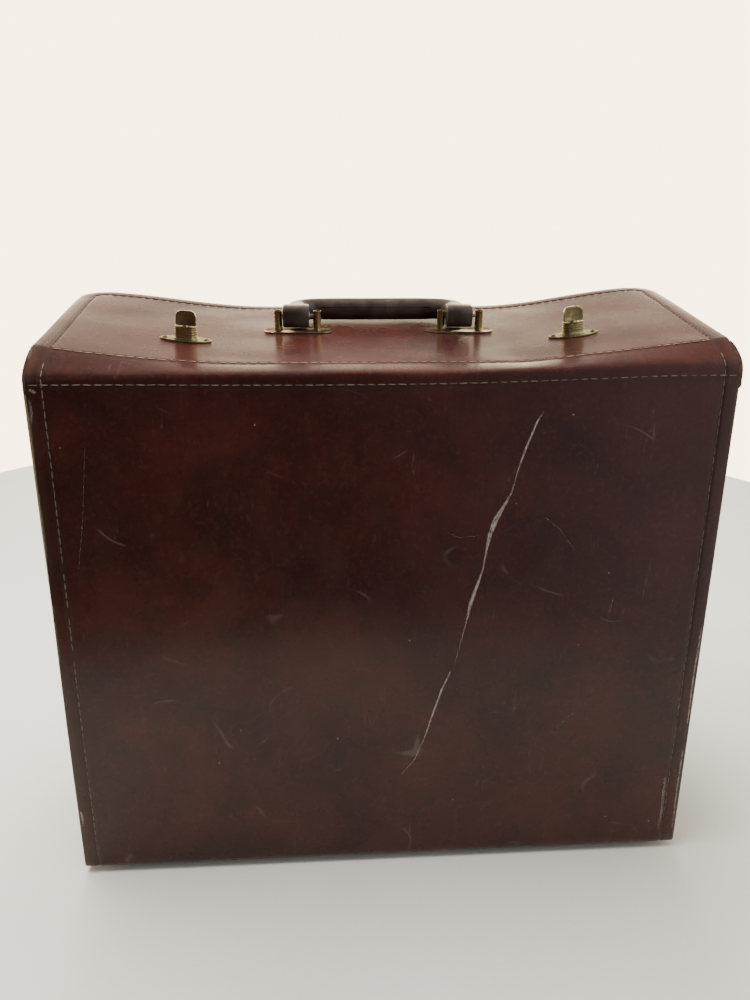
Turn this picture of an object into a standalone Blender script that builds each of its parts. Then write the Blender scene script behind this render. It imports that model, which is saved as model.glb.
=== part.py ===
"""A top-opening sample case: two overlapping flaps, two turn catches and a folding handle.

Metres, +Z up. The origin is on the floor under the middle of the case. X runs along its
width, -Y is the wall that the outer flap hinges on and +Y the wall of the inner flap.
"""

import math

import bmesh
import bpy
from mathutils import Matrix, Vector

# Body
WIDTH = 0.480
DEPTH = 0.200
FOOT_HEIGHT = 0.005
NEAR_WALL_TOP = 0.391
FAR_WALL_TOP = 0.405
BOTTOM_RADIUS = 0.004
END_FACE = 0.228  # distance of each recessed end's outer face from the middle
END_CUT_BACK = 0.015  # length of the sloped cuts at the top corners of an end
GAP = 0.0003  # clearance between pieces that touch

# Sheets
SKIN = 0.0010
BOARD = 0.0026
FLAP_BOARD = 0.0022
LINING = 0.0008
INNER_SKIN = 0.0008
HINGE_STRIP = 0.0016

# Upper face of the outer flap: level across its middle and raised at both ends, more at the right
FLAP_START = -0.075
FLAP_END = DEPTH / 2
FLAP_START_HEIGHT = 0.4033
FLAP_SLOPE = 0.1297
LEVEL_HALF_WIDTH = 0.092
NEAR_RISE = {-1: (0.0128, 1.75), 1: (0.0158, 1.1)}  # height and power, for each side
FAR_RISE = {-1: 0.0130, 1: 0.0165}
FLAP_CORNER = 0.020

# Layers below that face: top of the outer board, its lining, and the inner flap
OUTER_BOARD_AT = SKIN + GAP
OUTER_LINING_AT = OUTER_BOARD_AT + FLAP_BOARD + GAP
OUTER_BOTTOM = OUTER_LINING_AT + LINING
INNER_AT = 0.0078
INNER_BOARD_AT = INNER_AT + INNER_SKIN + GAP
INNER_LINING_AT = INNER_BOARD_AT + FLAP_BOARD + GAP
INNER_BOTTOM = INNER_LINING_AT + LINING
INNER_HALF_WIDTH = 0.232
INNER_START = -0.058
INNER_END = 0.075
INNER_CORNER = 0.012

# Hinge axes, both parallel to X
OUTER_HINGE = Vector((0, -0.098, 0.402))
INNER_HINGE = Vector((0, 0.097, 0.412))

# Turn catches, in the frame of the flap's face under each of them
LOCK_X = 0.145
LOCK_Y = -0.024
LOCK_PLATE = (0.038, 0.015, 0.0012)
LOCK_RIVET_X = 0.0150
COLLAR = (0.0163, 0.0085, 0.0090)
SPINDLE_RADIUS = 0.0023
TENON_RADIUS = 0.0009
TAB = (0.0145, 0.0030, 0.0110)
TAB_CORNER = 0.0042
KEEPER = (0.040, 0.018, 0.0010)
KEEPER_SLOT = (0.018, 0.010)
KEEPER_RIVET_X = 0.0125
CATCH_BAR = (0.0150, 0.0040, 0.0028)
RIVET_RADIUS = 0.0012
RIVET_HEAD = (0.0020, 0.0005)  # radius and thickness

# Handle and its brackets, in the frame of the flap's face at the bracket
BRACKET_X = 0.0635
BRACKET_Y = 0.010
BRACKET_PLATE = (0.053, 0.014, 0.0012)
POST_X = 0.015
POST_RADIUS = 0.0030
POST_RIM = 0.0033
POST_HEIGHT = 0.0165
SHANK_RADIUS = 0.0020
PIN_HEIGHT = 0.0125
PIN_RADIUS = 0.0014
PIN_HALF_LENGTH = 0.018
HANDLE_SHIFT = -0.0012  # the handle lies against its left-hand posts
GRIP_REACH = 0.036
GRIP_DROP = 0.0026
GRIP_RADIUS = 0.0085
EYE_RADIUS = 0.0083
EYE_WIDTH = 0.020
BUSH_RADIUS = 0.0025
GRIP_STRIP = (0.090, 0.0020, 0.0064)
BACKING = 0.0010

FOOT_X = 0.195
FOOT_Y = 0.072
FOOT_STEM = 0.0015

BEND_PULL = 2.4  # how closely a hinge strip follows the corner that it bends round
PAST = 0.001  # how far a cutter reaches beyond what it cuts

# What turns about each flap's hinge, by a word in its name
OUTER_FLAP_WORDS = (
    "outer_flap", "lock", "washer", "turn_button", "spindle", "tenon", "catch_bar",
    "bracket", "pin_hole", "handle", "grip", "eye", "bush",
)
INNER_FLAP_WORDS = ("inner_flap", "keeper")

FINISHES = {
    "leatherette": ((0.055, 0.016, 0.014), 0.30, 0.0),
    "lining": ((0.33, 0.27, 0.20), 0.85, 0.0),
    "board": ((0.36, 0.27, 0.17), 0.90, 0.0),
    "brass": ((0.46, 0.36, 0.16), 0.32, 1.0),
    "steel": ((0.45, 0.43, 0.40), 0.38, 1.0),
    "plastic": ((0.030, 0.018, 0.014), 0.25, 0.0),
}


def clear_scene():
    for old in list(bpy.data.objects):
        bpy.data.objects.remove(old, do_unlink=True)


def add_collection(name):
    collection = bpy.data.collections.new(name)
    bpy.context.scene.collection.children.link(collection)
    return collection


def material(name, finish):
    colour, roughness, metallic = FINISHES[finish]
    result = bpy.data.materials.new(name)
    result.use_nodes = True
    shader = result.node_tree.nodes["Principled BSDF"]
    shader.inputs["Base Color"].default_value = (*colour, 1)
    shader.inputs["Roughness"].default_value = roughness
    shader.inputs["Metallic"].default_value = metallic
    return result


def place(name, mesh, matrix=None, finish=None):
    """Puts a mesh in the scene: a sub-part where it has a finish, and a cutter where not."""
    obj = bpy.data.objects.new(name, mesh)
    (PARTS if finish else CUTTERS).objects.link(obj)
    if matrix is not None:
        obj.matrix_world = matrix
    if finish:
        if not mesh.materials:
            mesh.materials.append(None)
        obj.material_slots[0].link = "OBJECT"
        obj.material_slots[0].material = material(name, finish)
    else:
        obj.hide_render = True
        obj.display_type = "WIRE"
    return obj


def to_mesh(bm, name):
    bmesh.ops.recalc_face_normals(bm, faces=bm.faces[:])
    mesh = bpy.data.meshes.new(name)
    bm.to_mesh(mesh)
    bm.free()
    return mesh


def smooth(mesh):
    mesh.shade_smooth()
    mesh.set_sharp_from_angle(angle=math.radians(40))
    return mesh


def boolean(obj, other, operation="DIFFERENCE"):
    modifier = obj.modifiers.new(other.name, "BOOLEAN")
    modifier.operation = operation
    modifier.object = other
    return obj


def solidify(obj, thickness, offset=-1):
    modifier = obj.modifiers.new("thickness", "SOLIDIFY")
    modifier.thickness = thickness
    modifier.offset = offset
    modifier.use_even_offset = True
    modifier.use_quality_normals = True


# Shapes


def add_box(bm, low, high):
    size = Vector(high) - Vector(low)
    middle = (Vector(high) + Vector(low)) / 2
    matrix = Matrix.Translation(middle) @ Matrix.Diagonal((*size, 1))
    return bmesh.ops.create_cube(bm, size=1, matrix=matrix)["verts"]


def add_cylinder(bm, radius, bottom, top, x=0.0, segments=14):
    return bmesh.ops.create_cone(
        bm,
        cap_ends=True,
        segments=segments,
        radius1=radius,
        radius2=radius,
        depth=top - bottom,
        matrix=Matrix.Translation((x, 0, (top + bottom) / 2)),
    )["verts"]


def add_oval(bm, length, width, bottom, top, segments=18):
    """A plate with two half-round ends: a cylinder whose two halves are moved apart."""
    for vert in add_cylinder(bm, width / 2, bottom, top, segments=segments):
        vert.co.x += math.copysign((length - width) / 2, vert.co.x)


def add_cross_cylinder(bm, radius, left, right, segments=12):
    """A cylinder along X."""
    middle = Matrix.Translation(((left + right) / 2, 0, 0))
    bmesh.ops.create_cone(
        bm,
        cap_ends=True,
        segments=segments,
        radius1=radius,
        radius2=radius,
        depth=right - left,
        matrix=middle @ Matrix.Rotation(math.pi / 2, 4, "Y"),
    )


def shape(name, add, *sizes, **options):
    """A mesh made by one of the functions above, smooth where it is round."""
    bm = bmesh.new()
    add(bm, *sizes, **options)
    return smooth(to_mesh(bm, name))


def turned(name, profile, matrix, finish, segments=12):
    """A turned piece. Its profile runs down the outer side, in radius and height."""
    bm = bmesh.new()
    verts = [bm.verts.new((radius, 0, height)) for radius, height in profile]
    for first, second in zip(verts, verts[1:]):
        bm.edges.new((first, second))
    mesh = bpy.data.meshes.new(name)
    bm.to_mesh(mesh)
    bm.free()
    obj = place(name, mesh, matrix, finish)
    screw = obj.modifiers.new("turn", "SCREW")
    screw.steps = screw.render_steps = segments
    screw.use_merge_vertices = True
    screw.merge_threshold = 0.00001
    screw.use_smooth_shade = True
    return obj


def prism(name, outline, start, end, finish):
    """A flat panel: an outline in Y and Z that runs from one X to another."""
    bm = bmesh.new()
    face = bm.faces.new([bm.verts.new((start, y, z)) for y, z in outline])
    moved = bmesh.ops.extrude_face_region(bm, geom=[face])["geom"]
    verts = [item for item in moved if isinstance(item, bmesh.types.BMVert)]
    bmesh.ops.translate(bm, verts=verts, vec=(end - start, 0, 0))
    return place(name, to_mesh(bm, name), finish=finish)


# The flaps' curved faces


def flap_top(x, y):
    """Height of the outer flap's upper face."""
    along = (y - FLAP_START) / (FLAP_END - FLAP_START)
    outward = max(0.0, (abs(x) - LEVEL_HALF_WIDTH) / (WIDTH / 2 - LEVEL_HALF_WIDTH))
    side = -1 if x < 0 else 1
    rise, power = NEAR_RISE[side]
    near = rise * outward**power
    far = FAR_RISE[side] * outward * outward * (3 - 2 * outward)
    level = FLAP_START_HEIGHT + FLAP_SLOPE * (y - FLAP_START)
    return level + near * (1 - along) + far * along


def face_frame(x, y, level=False):
    """Frame on the flap's upper face: origin on it, Z along its normal, X across the case."""
    step = 0.001
    rise = 0 if level else (flap_top(x + step, y) - flap_top(x - step, y)) / (2 * step)
    across = Vector((1, 0, rise)).normalized()
    normal = across.cross(Vector((0, 1, FLAP_SLOPE))).normalized()
    depth = normal.cross(across)
    matrix = Matrix((across, depth, normal)).transposed().to_4x4()
    matrix.translation = (x, y, flap_top(x, y))
    return matrix


def columns(half_width, middle=2, side=9):
    """X of a sheet's columns: few over its level middle, more over its raised ends."""
    inner = [LEVEL_HALF_WIDTH * i / (middle / 2) for i in range(middle // 2 + 1)]
    step = (half_width - LEVEL_HALF_WIDTH) / side
    right = inner + [LEVEL_HALF_WIDTH + step * i for i in range(1, side + 1)]
    return [-x for x in reversed(right[1:])] + right


def mapped_grid(across, rows, point):
    """A sheet of quads with one column for each of ACROSS and one row for each of ROWS."""
    bm = bmesh.new()
    wide, long = len(across) - 1, len(rows) - 1
    bmesh.ops.create_grid(bm, x_segments=wide, y_segments=long, size=1)
    for vert in bm.verts:
        column = round((vert.co.x + 1) / 2 * wide)
        row = round((vert.co.y + 1) / 2 * long)
        vert.co = point(across[column], rows[row])
    return bm


def flap_sheet(name, half_width, start, end, round_end, corner, below, thickness, finish):
    """A sheet that lies BELOW the flap's upper face, with two rounded corners at one end."""
    across = columns(half_width)
    other = start if round_end == end else end
    away = math.copysign(1, round_end - other)
    arc = [round_end - away * corner * (1 - math.sin(i * math.pi / 8)) for i in range(5)]
    straight = [other + (arc[0] - other) * i / 3 for i in range(3)]

    def point(x, y):
        past = max(0.0, (y - arc[0]) * away)
        narrowed = corner - math.sqrt(max(0.0, corner**2 - past**2))
        x *= (half_width - narrowed) / half_width
        return x, y, flap_top(x, y) - below

    bm = mapped_grid(across, straight + arc, point)
    lower = bmesh.ops.extrude_face_region(bm, geom=bm.faces[:])["geom"]
    verts = [item for item in lower if isinstance(item, bmesh.types.BMVert)]
    bmesh.ops.translate(bm, verts=verts, vec=(0, 0, -thickness))
    return place(name, to_mesh(bm, name), finish=finish)


def hinge_strip(name, wall, wall_top, edge, below, half_width):
    """A flexible strip that bends from the top of a wall over to the edge of a flap."""

    def point(x, t):
        corner = flap_top(x, wall) - below
        tip = flap_top(x, edge) - below
        weights = ((1 - t) ** 2, BEND_PULL * t * (1 - t), t * t)
        y = weights[0] * wall + weights[1] * wall + weights[2] * edge
        z = weights[0] * wall_top + weights[1] * corner + weights[2] * tip
        return x, y / sum(weights), z / sum(weights)

    steps = [i / 5 for i in range(6)]
    bm = mapped_grid(columns(half_width), steps, point)
    mesh = bpy.data.meshes.new(name)
    if wall > 0:
        bmesh.ops.reverse_faces(bm, faces=bm.faces[:])
    bm.to_mesh(mesh)
    bm.free()
    obj = place(name, mesh, finish="leatherette")
    solidify(obj, HINGE_STRIP)


# Body


def u_sheet(name, inset, thickness, near_top, far_top, radius, half_width, finish):
    """A sheet that runs down the near wall, under the bottom and up the far wall."""
    side = DEPTH / 2 - inset
    bottom = FOOT_HEIGHT + inset
    bm = bmesh.new()
    outline = [(-side, near_top), (-side, bottom), (side, bottom), (side, far_top)]
    verts = [bm.verts.new((-half_width, y, z)) for y, z in outline]
    edges = [bm.edges.new(pair) for pair in zip(verts, verts[1:])]
    moved = bmesh.ops.extrude_edge_only(bm, edges=edges)["geom"]
    ends = [item for item in moved if isinstance(item, bmesh.types.BMVert)]
    bmesh.ops.translate(bm, verts=ends, vec=(2 * half_width, 0, 0))
    if radius:
        folds = [
            edge
            for edge in bm.edges
            if all(abs(vert.co.z - bottom) < 1e-6 for vert in edge.verts)
            and abs(edge.verts[0].co.x - edge.verts[1].co.x) > half_width
        ]
        bmesh.ops.bevel(
            bm, geom=folds, offset=radius, segments=4, profile=0.5, affect="EDGES"
        )
    bmesh.ops.recalc_face_normals(bm, faces=bm.faces[:])
    downward = min(bm.faces, key=lambda face: face.calc_center_median().z)
    if downward.normal.z > 0:
        bmesh.ops.reverse_faces(bm, faces=bm.faces[:])
    mesh = bpy.data.meshes.new(name)
    bm.to_mesh(mesh)
    bm.free()
    obj = place(name, mesh, finish=finish)
    solidify(obj, thickness)
    return obj


def end_outline(side, half_depth, bottom):
    """Outline of an end panel: its top slopes with the inner flap that rests on it."""
    inside = side * (END_FACE - SKIN - BOARD - LINING - 2 * GAP)
    near = -half_depth + END_CUT_BACK
    far = half_depth - END_CUT_BACK
    below = INNER_BOTTOM + GAP
    return [
        (-half_depth, bottom),
        (half_depth, bottom),
        (half_depth, FAR_WALL_TOP),
        (far, flap_top(inside, far) - below),
        (near, flap_top(inside, near) - below),
        (-half_depth, NEAR_WALL_TOP),
    ]


def end_skin(name, side, half_depth, bottom):
    """Skin of an end: a panel whose edges are turned out and sewn inside the walls' edges."""
    bm = bmesh.new()
    outline = end_outline(side, half_depth, bottom)
    verts = [bm.verts.new((side * END_FACE, y, z)) for y, z in outline]
    bm.faces.new(verts)
    edges = [bm.edges.get(pair) for pair in ((verts[5], verts[0]), verts[0:2], verts[1:3])]
    moved = bmesh.ops.extrude_edge_only(bm, edges=edges)["geom"]
    rim = [item for item in moved if isinstance(item, bmesh.types.BMVert)]
    reach = WIDTH / 2 - GAP - END_FACE
    bmesh.ops.translate(bm, verts=rim, vec=(side * reach, 0, 0))
    bmesh.ops.recalc_face_normals(bm, faces=bm.faces[:])
    panel = max(bm.faces, key=lambda face: face.calc_area())
    if panel.normal.x * side < 0:
        bmesh.ops.reverse_faces(bm, faces=bm.faces[:])
    mesh = bpy.data.meshes.new(name)
    bm.to_mesh(mesh)
    bm.free()
    obj = place(name, mesh, finish="leatherette")
    solidify(obj, SKIN)


def make_body():
    half = WIDTH / 2
    board_at = SKIN + GAP
    lining_at = board_at + BOARD + GAP
    inside_y = DEPTH / 2 - lining_at - LINING - GAP
    inside_z = FOOT_HEIGHT + lining_at + LINING + GAP
    skin = u_sheet(
        "wrap_skin", 0, SKIN, NEAR_WALL_TOP, FAR_WALL_TOP, BOTTOM_RADIUS, half, "leatherette"
    )
    u_sheet(
        "body_lining",
        lining_at,
        LINING,
        NEAR_WALL_TOP,
        FAR_WALL_TOP,
        0,
        half - GAP,
        "lining",
    )
    under = FOOT_HEIGHT + board_at
    above_bottom = under + BOARD + GAP
    outer = DEPTH / 2 - board_at
    inner = outer - BOARD
    boards = {
        "near_board": ((-half, -outer, above_bottom), (half, -inner, NEAR_WALL_TOP)),
        "far_board": ((-half, inner, above_bottom), (half, outer, FAR_WALL_TOP)),
        "bottom_board": ((-half, GAP - inner, under), (half, inner - GAP, under + BOARD)),
    }
    for name, (low, high) in boards.items():
        place(name, shape(name, add_box, low, high), finish="board")
    for side, word in ((-1, "left"), (1, "right")):
        # The turned edges' thickness is added outside their outline.
        end_skin(f"{word}_end_skin", side, inside_y - SKIN, inside_z + SKIN)
        board_face = END_FACE - SKIN - GAP
        lining_face = board_face - BOARD - GAP
        outline = end_outline(side, inside_y - SKIN - GAP, inside_z)
        prism(
            f"{word}_end_board",
            outline,
            side * board_face,
            side * (board_face - BOARD),
            "board",
        )
        prism(
            f"{word}_end_lining",
            outline,
            side * lining_face,
            side * (lining_face - LINING),
            "lining",
        )
    make_feet(skin, bpy.data.objects["bottom_board"])


def make_feet(skin, board):
    """Domed studs under the bottom. Each stem goes up into the board."""
    stem_top = FOOT_HEIGHT + SKIN + GAP + BOARD - GAP
    head = FOOT_HEIGHT - GAP
    profile = [
        (0, stem_top),
        (FOOT_STEM, stem_top),
        (FOOT_STEM, head),
        (0.0070, head),
        (0.0070, head - 0.0012),
        (0.0058, 0.0012),
        (0.0035, 0),
        (0, 0),
    ]
    bm = bmesh.new()
    corners = [(x, y) for x in (-FOOT_X, FOOT_X) for y in (-FOOT_Y, FOOT_Y)]
    for x, y in corners:
        added = add_cylinder(bm, FOOT_STEM + GAP, 0.002, 0.012, segments=12)
        bmesh.ops.translate(bm, verts=added, vec=(x, y, 0))
    holes = place("foot_holes", to_mesh(bm, "foot_holes"))
    boolean(skin, holes)
    boolean(board, holes)
    for index, (x, y) in enumerate(corners, 1):
        turned(f"foot_{index}", profile, Matrix.Translation((x, y, 0)), "brass")


# Flaps


def make_outer_flap():
    half = WIDTH / 2
    layers = [
        ("outer_flap_cover", 0, SKIN, "leatherette"),
        ("outer_flap_board", OUTER_BOARD_AT, FLAP_BOARD, "board"),
        ("outer_flap_lining", OUTER_LINING_AT, LINING, "lining"),
    ]
    holes = flap_holes()
    for name, below, thickness, finish in layers:
        sheet = flap_sheet(
            name,
            half,
            FLAP_START,
            FLAP_END,
            FLAP_END,
            FLAP_CORNER,
            below,
            thickness,
            finish,
        )
        boolean(sheet, holes)


def flap_holes():
    """Holes through the outer flap for the spindles, the rivets and the brackets' shanks."""
    bm = bmesh.new()
    for side in (-1, 1):
        lock = face_frame(side * LOCK_X, LOCK_Y)
        bracket = face_frame(side * BRACKET_X, BRACKET_Y)
        wanted = [(lock, 0, SPINDLE_RADIUS + 2 * GAP)]
        wanted += [(lock, x, RIVET_RADIUS + GAP) for x in (-LOCK_RIVET_X, LOCK_RIVET_X)]
        wanted += [(bracket, x, SHANK_RADIUS + GAP) for x in (-POST_X, POST_X)]
        for frame, x, radius in wanted:
            added = add_cylinder(bm, radius, -0.009, 0.003, x=x, segments=12)
            bmesh.ops.transform(bm, matrix=frame, verts=added)
    return place("outer_flap_holes", to_mesh(bm, "outer_flap_holes"))


def make_inner_flap():
    layers = [
        ("inner_flap_cover", INNER_AT, INNER_SKIN, "leatherette"),
        ("inner_flap_board", INNER_BOARD_AT, FLAP_BOARD, "board"),
        ("inner_flap_lining", INNER_LINING_AT, LINING, "lining"),
    ]
    bm = bmesh.new()
    for side in (-1, 1):
        frame = face_frame(side * LOCK_X, LOCK_Y)
        cutter = bmesh.new()
        add_oval(cutter, *KEEPER_SLOT, -0.016, -0.004)
        for x in (-KEEPER_RIVET_X, KEEPER_RIVET_X):
            add_cylinder(cutter, RIVET_RADIUS + GAP, -0.016, -0.004, x=x, segments=12)
        bmesh.ops.transform(cutter, matrix=frame, verts=cutter.verts[:])
        part = to_mesh(cutter, "slot")
        bm.from_mesh(part)
        bpy.data.meshes.remove(part)
    slots = place("inner_flap_slots", to_mesh(bm, "inner_flap_slots"))
    for name, below, thickness, finish in layers:
        sheet = flap_sheet(
            name,
            INNER_HALF_WIDTH,
            INNER_START,
            INNER_END,
            INNER_START,
            INNER_CORNER,
            below,
            thickness,
            finish,
        )
        boolean(sheet, slots)


def make_hinge_strips():
    hinge_strip(
        "near_hinge_strip",
        -DEPTH / 2,
        NEAR_WALL_TOP + 2 * GAP,
        FLAP_START - 2 * GAP,
        0,
        WIDTH / 2 - GAP,
    )
    hinge_strip(
        "far_hinge_strip",
        DEPTH / 2,
        FAR_WALL_TOP + 2 * GAP,
        INNER_END + GAP,
        INNER_AT,
        INNER_HALF_WIDTH,
    )


# Turn catches


def rivet(name, frame, x, top, bottom):
    """A rivet whose two heads hold everything between the heights TOP and BOTTOM."""
    radius, head = RIVET_HEAD
    profile = [
        (0, top + GAP + head),
        (radius * 0.7, top + GAP + head),
        (radius, top + GAP),
        (RIVET_RADIUS, top + GAP),
        (RIVET_RADIUS, bottom - GAP),
        (radius, bottom - GAP),
        (radius * 0.7, bottom - GAP - head),
        (0, bottom - GAP - head),
    ]
    turned(name, profile, frame @ Matrix.Translation((x, 0, 0)), "brass", segments=8)


def oval_plate(name, matrix, size, bottom, holes, finish):
    """An oval plate with round holes, given as pairs of X and radius."""
    length, width, thickness = size
    plate = place(
        name, shape(name, add_oval, length, width, bottom, bottom + thickness), matrix, finish
    )
    bm = bmesh.new()
    for x, radius in holes:
        add_cylinder(bm, radius, bottom - PAST, bottom + thickness + PAST, x=x, segments=12)
    boolean(plate, place(f"{name}_holes", to_mesh(bm, f"{name}_holes"), matrix))
    return plate


def make_lock(side, word):
    frame = face_frame(side * LOCK_X, LOCK_Y)
    plate_top = GAP + LOCK_PLATE[2]
    collar_top = plate_top + COLLAR[2]
    rivet_hole = RIVET_RADIUS + GAP
    ends = (-LOCK_RIVET_X, LOCK_RIVET_X)
    plate = shape("lock_plate", add_oval, *LOCK_PLATE[:2], GAP, plate_top)
    base = place(f"{word}_lock_base", plate, frame, "brass")
    collar = shape("collar", add_oval, *COLLAR[:2], plate_top - 0.0006, collar_top)
    boolean(base, place(f"{word}_lock_collar", collar, frame), "UNION")
    pocket = 0.0012
    washer = 0.0005
    bm = bmesh.new()
    add_cylinder(bm, SPINDLE_RADIUS + GAP, -PAST, collar_top + PAST)
    bore = place(f"{word}_lock_bore", to_mesh(bm, "lock_bore"), frame)
    bm = bmesh.new()
    add_cylinder(bm, SPINDLE_RADIUS + 0.0013, collar_top - pocket, collar_top + PAST)
    for x in ends:
        add_cylinder(bm, rivet_hole, -PAST, plate_top + PAST, x=x, segments=12)
    boolean(base, bore)
    boolean(base, place(f"{word}_lock_pockets", to_mesh(bm, "lock_pockets"), frame))
    low = collar_top - pocket + GAP
    ring = [
        (SPINDLE_RADIUS + GAP, low),
        (SPINDLE_RADIUS + GAP, low + washer),
        (SPINDLE_RADIUS + 0.0010, low + washer),
        (SPINDLE_RADIUS + 0.0010, low),
        (SPINDLE_RADIUS + GAP, low),
    ]
    turned(f"{word}_spring_washer", ring, frame, "steel")
    backing_top = -OUTER_BOTTOM - GAP
    oval_plate(
        f"{word}_lock_backing",
        frame,
        (*LOCK_PLATE[:2], BACKING),
        backing_top - BACKING,
        [(0, SPINDLE_RADIUS + 2 * GAP)] + [(x, rivet_hole) for x in ends],
        "steel",
    )
    for index, x in enumerate(ends, 1):
        rivet(f"{word}_lock_rivet_{index}", frame, x, plate_top, backing_top - BACKING)
    make_turn_button(word, frame, collar_top)
    make_keeper(word, frame)


def make_turn_button(word, frame, collar_top):
    """The tab that fingers turn, its spindle, and the bar that it turns under the inner flap."""
    length, thickness, height = TAB
    bottom = collar_top + GAP
    bm = bmesh.new()
    half = Vector((length, thickness, 0)) / 2
    low = Vector((0, 0, bottom))
    add_box(bm, low - half, low + half + Vector((0, 0, height)))
    corners = [
        edge
        for edge in bm.edges
        if all(vert.co.z > bottom + height / 2 for vert in edge.verts)
        and abs(edge.verts[0].co.x - edge.verts[1].co.x) < 1e-6
    ]
    bmesh.ops.bevel(
        bm, geom=corners, offset=TAB_CORNER, segments=4, profile=0.5, affect="EDGES"
    )
    button = place(f"{word}_turn_button", to_mesh(bm, "turn_button"), frame, "brass")
    keeper_bottom = -INNER_BOTTOM - GAP - KEEPER[2]
    bar_top = keeper_bottom - 0.0005
    bar_bottom = bar_top - CATCH_BAR[2]
    spindle = shape("spindle", add_cylinder, SPINDLE_RADIUS, bar_top + GAP, bottom + 0.0008)
    boolean(button, place(f"{word}_spindle", spindle, frame), "UNION")
    tenon = shape("tenon", add_cylinder, TENON_RADIUS, bar_bottom - GAP, bar_top + PAST)
    boolean(button, place(f"{word}_tenon", tenon, frame), "UNION")
    bar = shape("catch_bar", add_oval, *CATCH_BAR[:2], bar_bottom, bar_top)
    bar = place(f"{word}_catch_bar", bar, frame, "steel")
    hole = shape("hole", add_cylinder, TENON_RADIUS + GAP, bar_bottom - PAST, bar_top + PAST)
    boolean(bar, place(f"{word}_catch_bar_hole", hole, frame))


def make_keeper(word, frame):
    """The slotted plate under the inner flap that the bar turns against."""
    top = -INNER_BOTTOM - GAP
    ends = (-KEEPER_RIVET_X, KEEPER_RIVET_X)
    plate = oval_plate(
        f"{word}_keeper_plate",
        frame,
        KEEPER,
        top - KEEPER[2],
        [(x, RIVET_RADIUS + GAP) for x in ends],
        "steel",
    )
    slot = shape("keeper_slot", add_oval, *KEEPER_SLOT, top - KEEPER[2] - PAST, top + PAST)
    boolean(plate, place(f"{word}_keeper_slot", slot, frame))
    for index, x in enumerate(ends, 1):
        rivet(f"{word}_keeper_rivet_{index}", frame, x, -INNER_AT, top - KEEPER[2])


# Handle


def make_bracket(side, word):
    frame = face_frame(side * BRACKET_X, BRACKET_Y)
    plate_top = GAP + BRACKET_PLATE[2]
    backing_bottom = -OUTER_BOTTOM - GAP - BACKING
    posts = (-POST_X, POST_X)
    holes = [(x, SHANK_RADIUS + GAP) for x in posts]
    oval_plate(f"{word}_bracket_plate", frame, BRACKET_PLATE, GAP, holes, "brass")
    oval_plate(
        f"{word}_bracket_backing",
        frame,
        (*BRACKET_PLATE[:2], BACKING),
        backing_bottom,
        holes,
        "steel",
    )
    profile = [
        (0, POST_HEIGHT - 0.0018),
        (0.0015, POST_HEIGHT - 0.0018),
        (0.0015, POST_HEIGHT),
        (POST_RIM, POST_HEIGHT),
        (POST_RIM, POST_HEIGHT - 0.0004),
        (POST_RADIUS, POST_HEIGHT - 0.0014),
        (POST_RADIUS, plate_top + GAP),
        (SHANK_RADIUS, plate_top + GAP),
        (SHANK_RADIUS, backing_bottom),
        (0, backing_bottom),
    ]
    pin_frame = frame @ Matrix.Translation((0, 0, PIN_HEIGHT))
    hole = shape("pin_hole", add_cross_cylinder, PIN_RADIUS + GAP, -0.022, 0.022)
    pin_hole = place(f"{word}_pin_hole", hole, pin_frame)
    for index, x in enumerate(posts, 1):
        post = turned(
            f"{word}_bracket_post_{index}", profile, frame @ Matrix.Translation((x, 0, 0)), "brass"
        )
        boolean(post, pin_hole)
    pin = shape("pin", add_cross_cylinder, PIN_RADIUS, -PIN_HALF_LENGTH, PIN_HALF_LENGTH)
    place(f"{word}_bracket_pin", pin, pin_frame, "steel")


def make_handle():
    """The grip with an eye at each end, the bushes in its eyes and the strip let into it."""
    frame = face_frame(0, BRACKET_Y, level=True) @ Matrix.Translation(
        (HANDLE_SHIFT, 0, PIN_HEIGHT)
    )
    grip = grip_tube(frame)
    for side, word in ((-1, "left"), (1, "right")):
        eye_frame = frame @ Matrix.Translation((side * BRACKET_X, 0, 0))
        half = EYE_WIDTH / 2
        eye = shape("eye", add_cross_cylinder, EYE_RADIUS, -half, half, segments=16)
        boolean(grip, place(f"{word}_eye", eye, eye_frame), "UNION")
    for side, word in ((-1, "left"), (1, "right")):
        eye_frame = frame @ Matrix.Translation((side * BRACKET_X, 0, 0))
        bore = shape("eye_bore", add_cross_cylinder, BUSH_RADIUS + GAP, -half - PAST, half + PAST)
        boolean(grip, place(f"{word}_eye_bore", bore, eye_frame))
        bush = shape("bush", add_cross_cylinder, BUSH_RADIUS, -half, half)
        bush = place(f"{word}_pin_bush", bush, eye_frame, "steel")
        inside = shape("bush_bore", add_cross_cylinder, PIN_RADIUS + GAP, -half - PAST, half + PAST)
        boolean(bush, place(f"{word}_bush_bore", inside, eye_frame))
    length, depth, height = GRIP_STRIP
    front = GRIP_REACH - GRIP_RADIUS
    low = (-length / 2, front + GAP, -GRIP_DROP - height / 2)
    high = (length / 2, front + GAP + depth, -GRIP_DROP + height / 2)
    place("grip_strip", shape("grip_strip", add_box, low, high), frame, "steel")
    spread = Vector((GAP, GAP, GAP))
    groove_low = Vector((low[0], front - 2 * PAST, low[2])) - spread
    groove = shape("groove", add_box, groove_low, Vector(high) + spread)
    boolean(grip, place("grip_groove", groove, frame))


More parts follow.
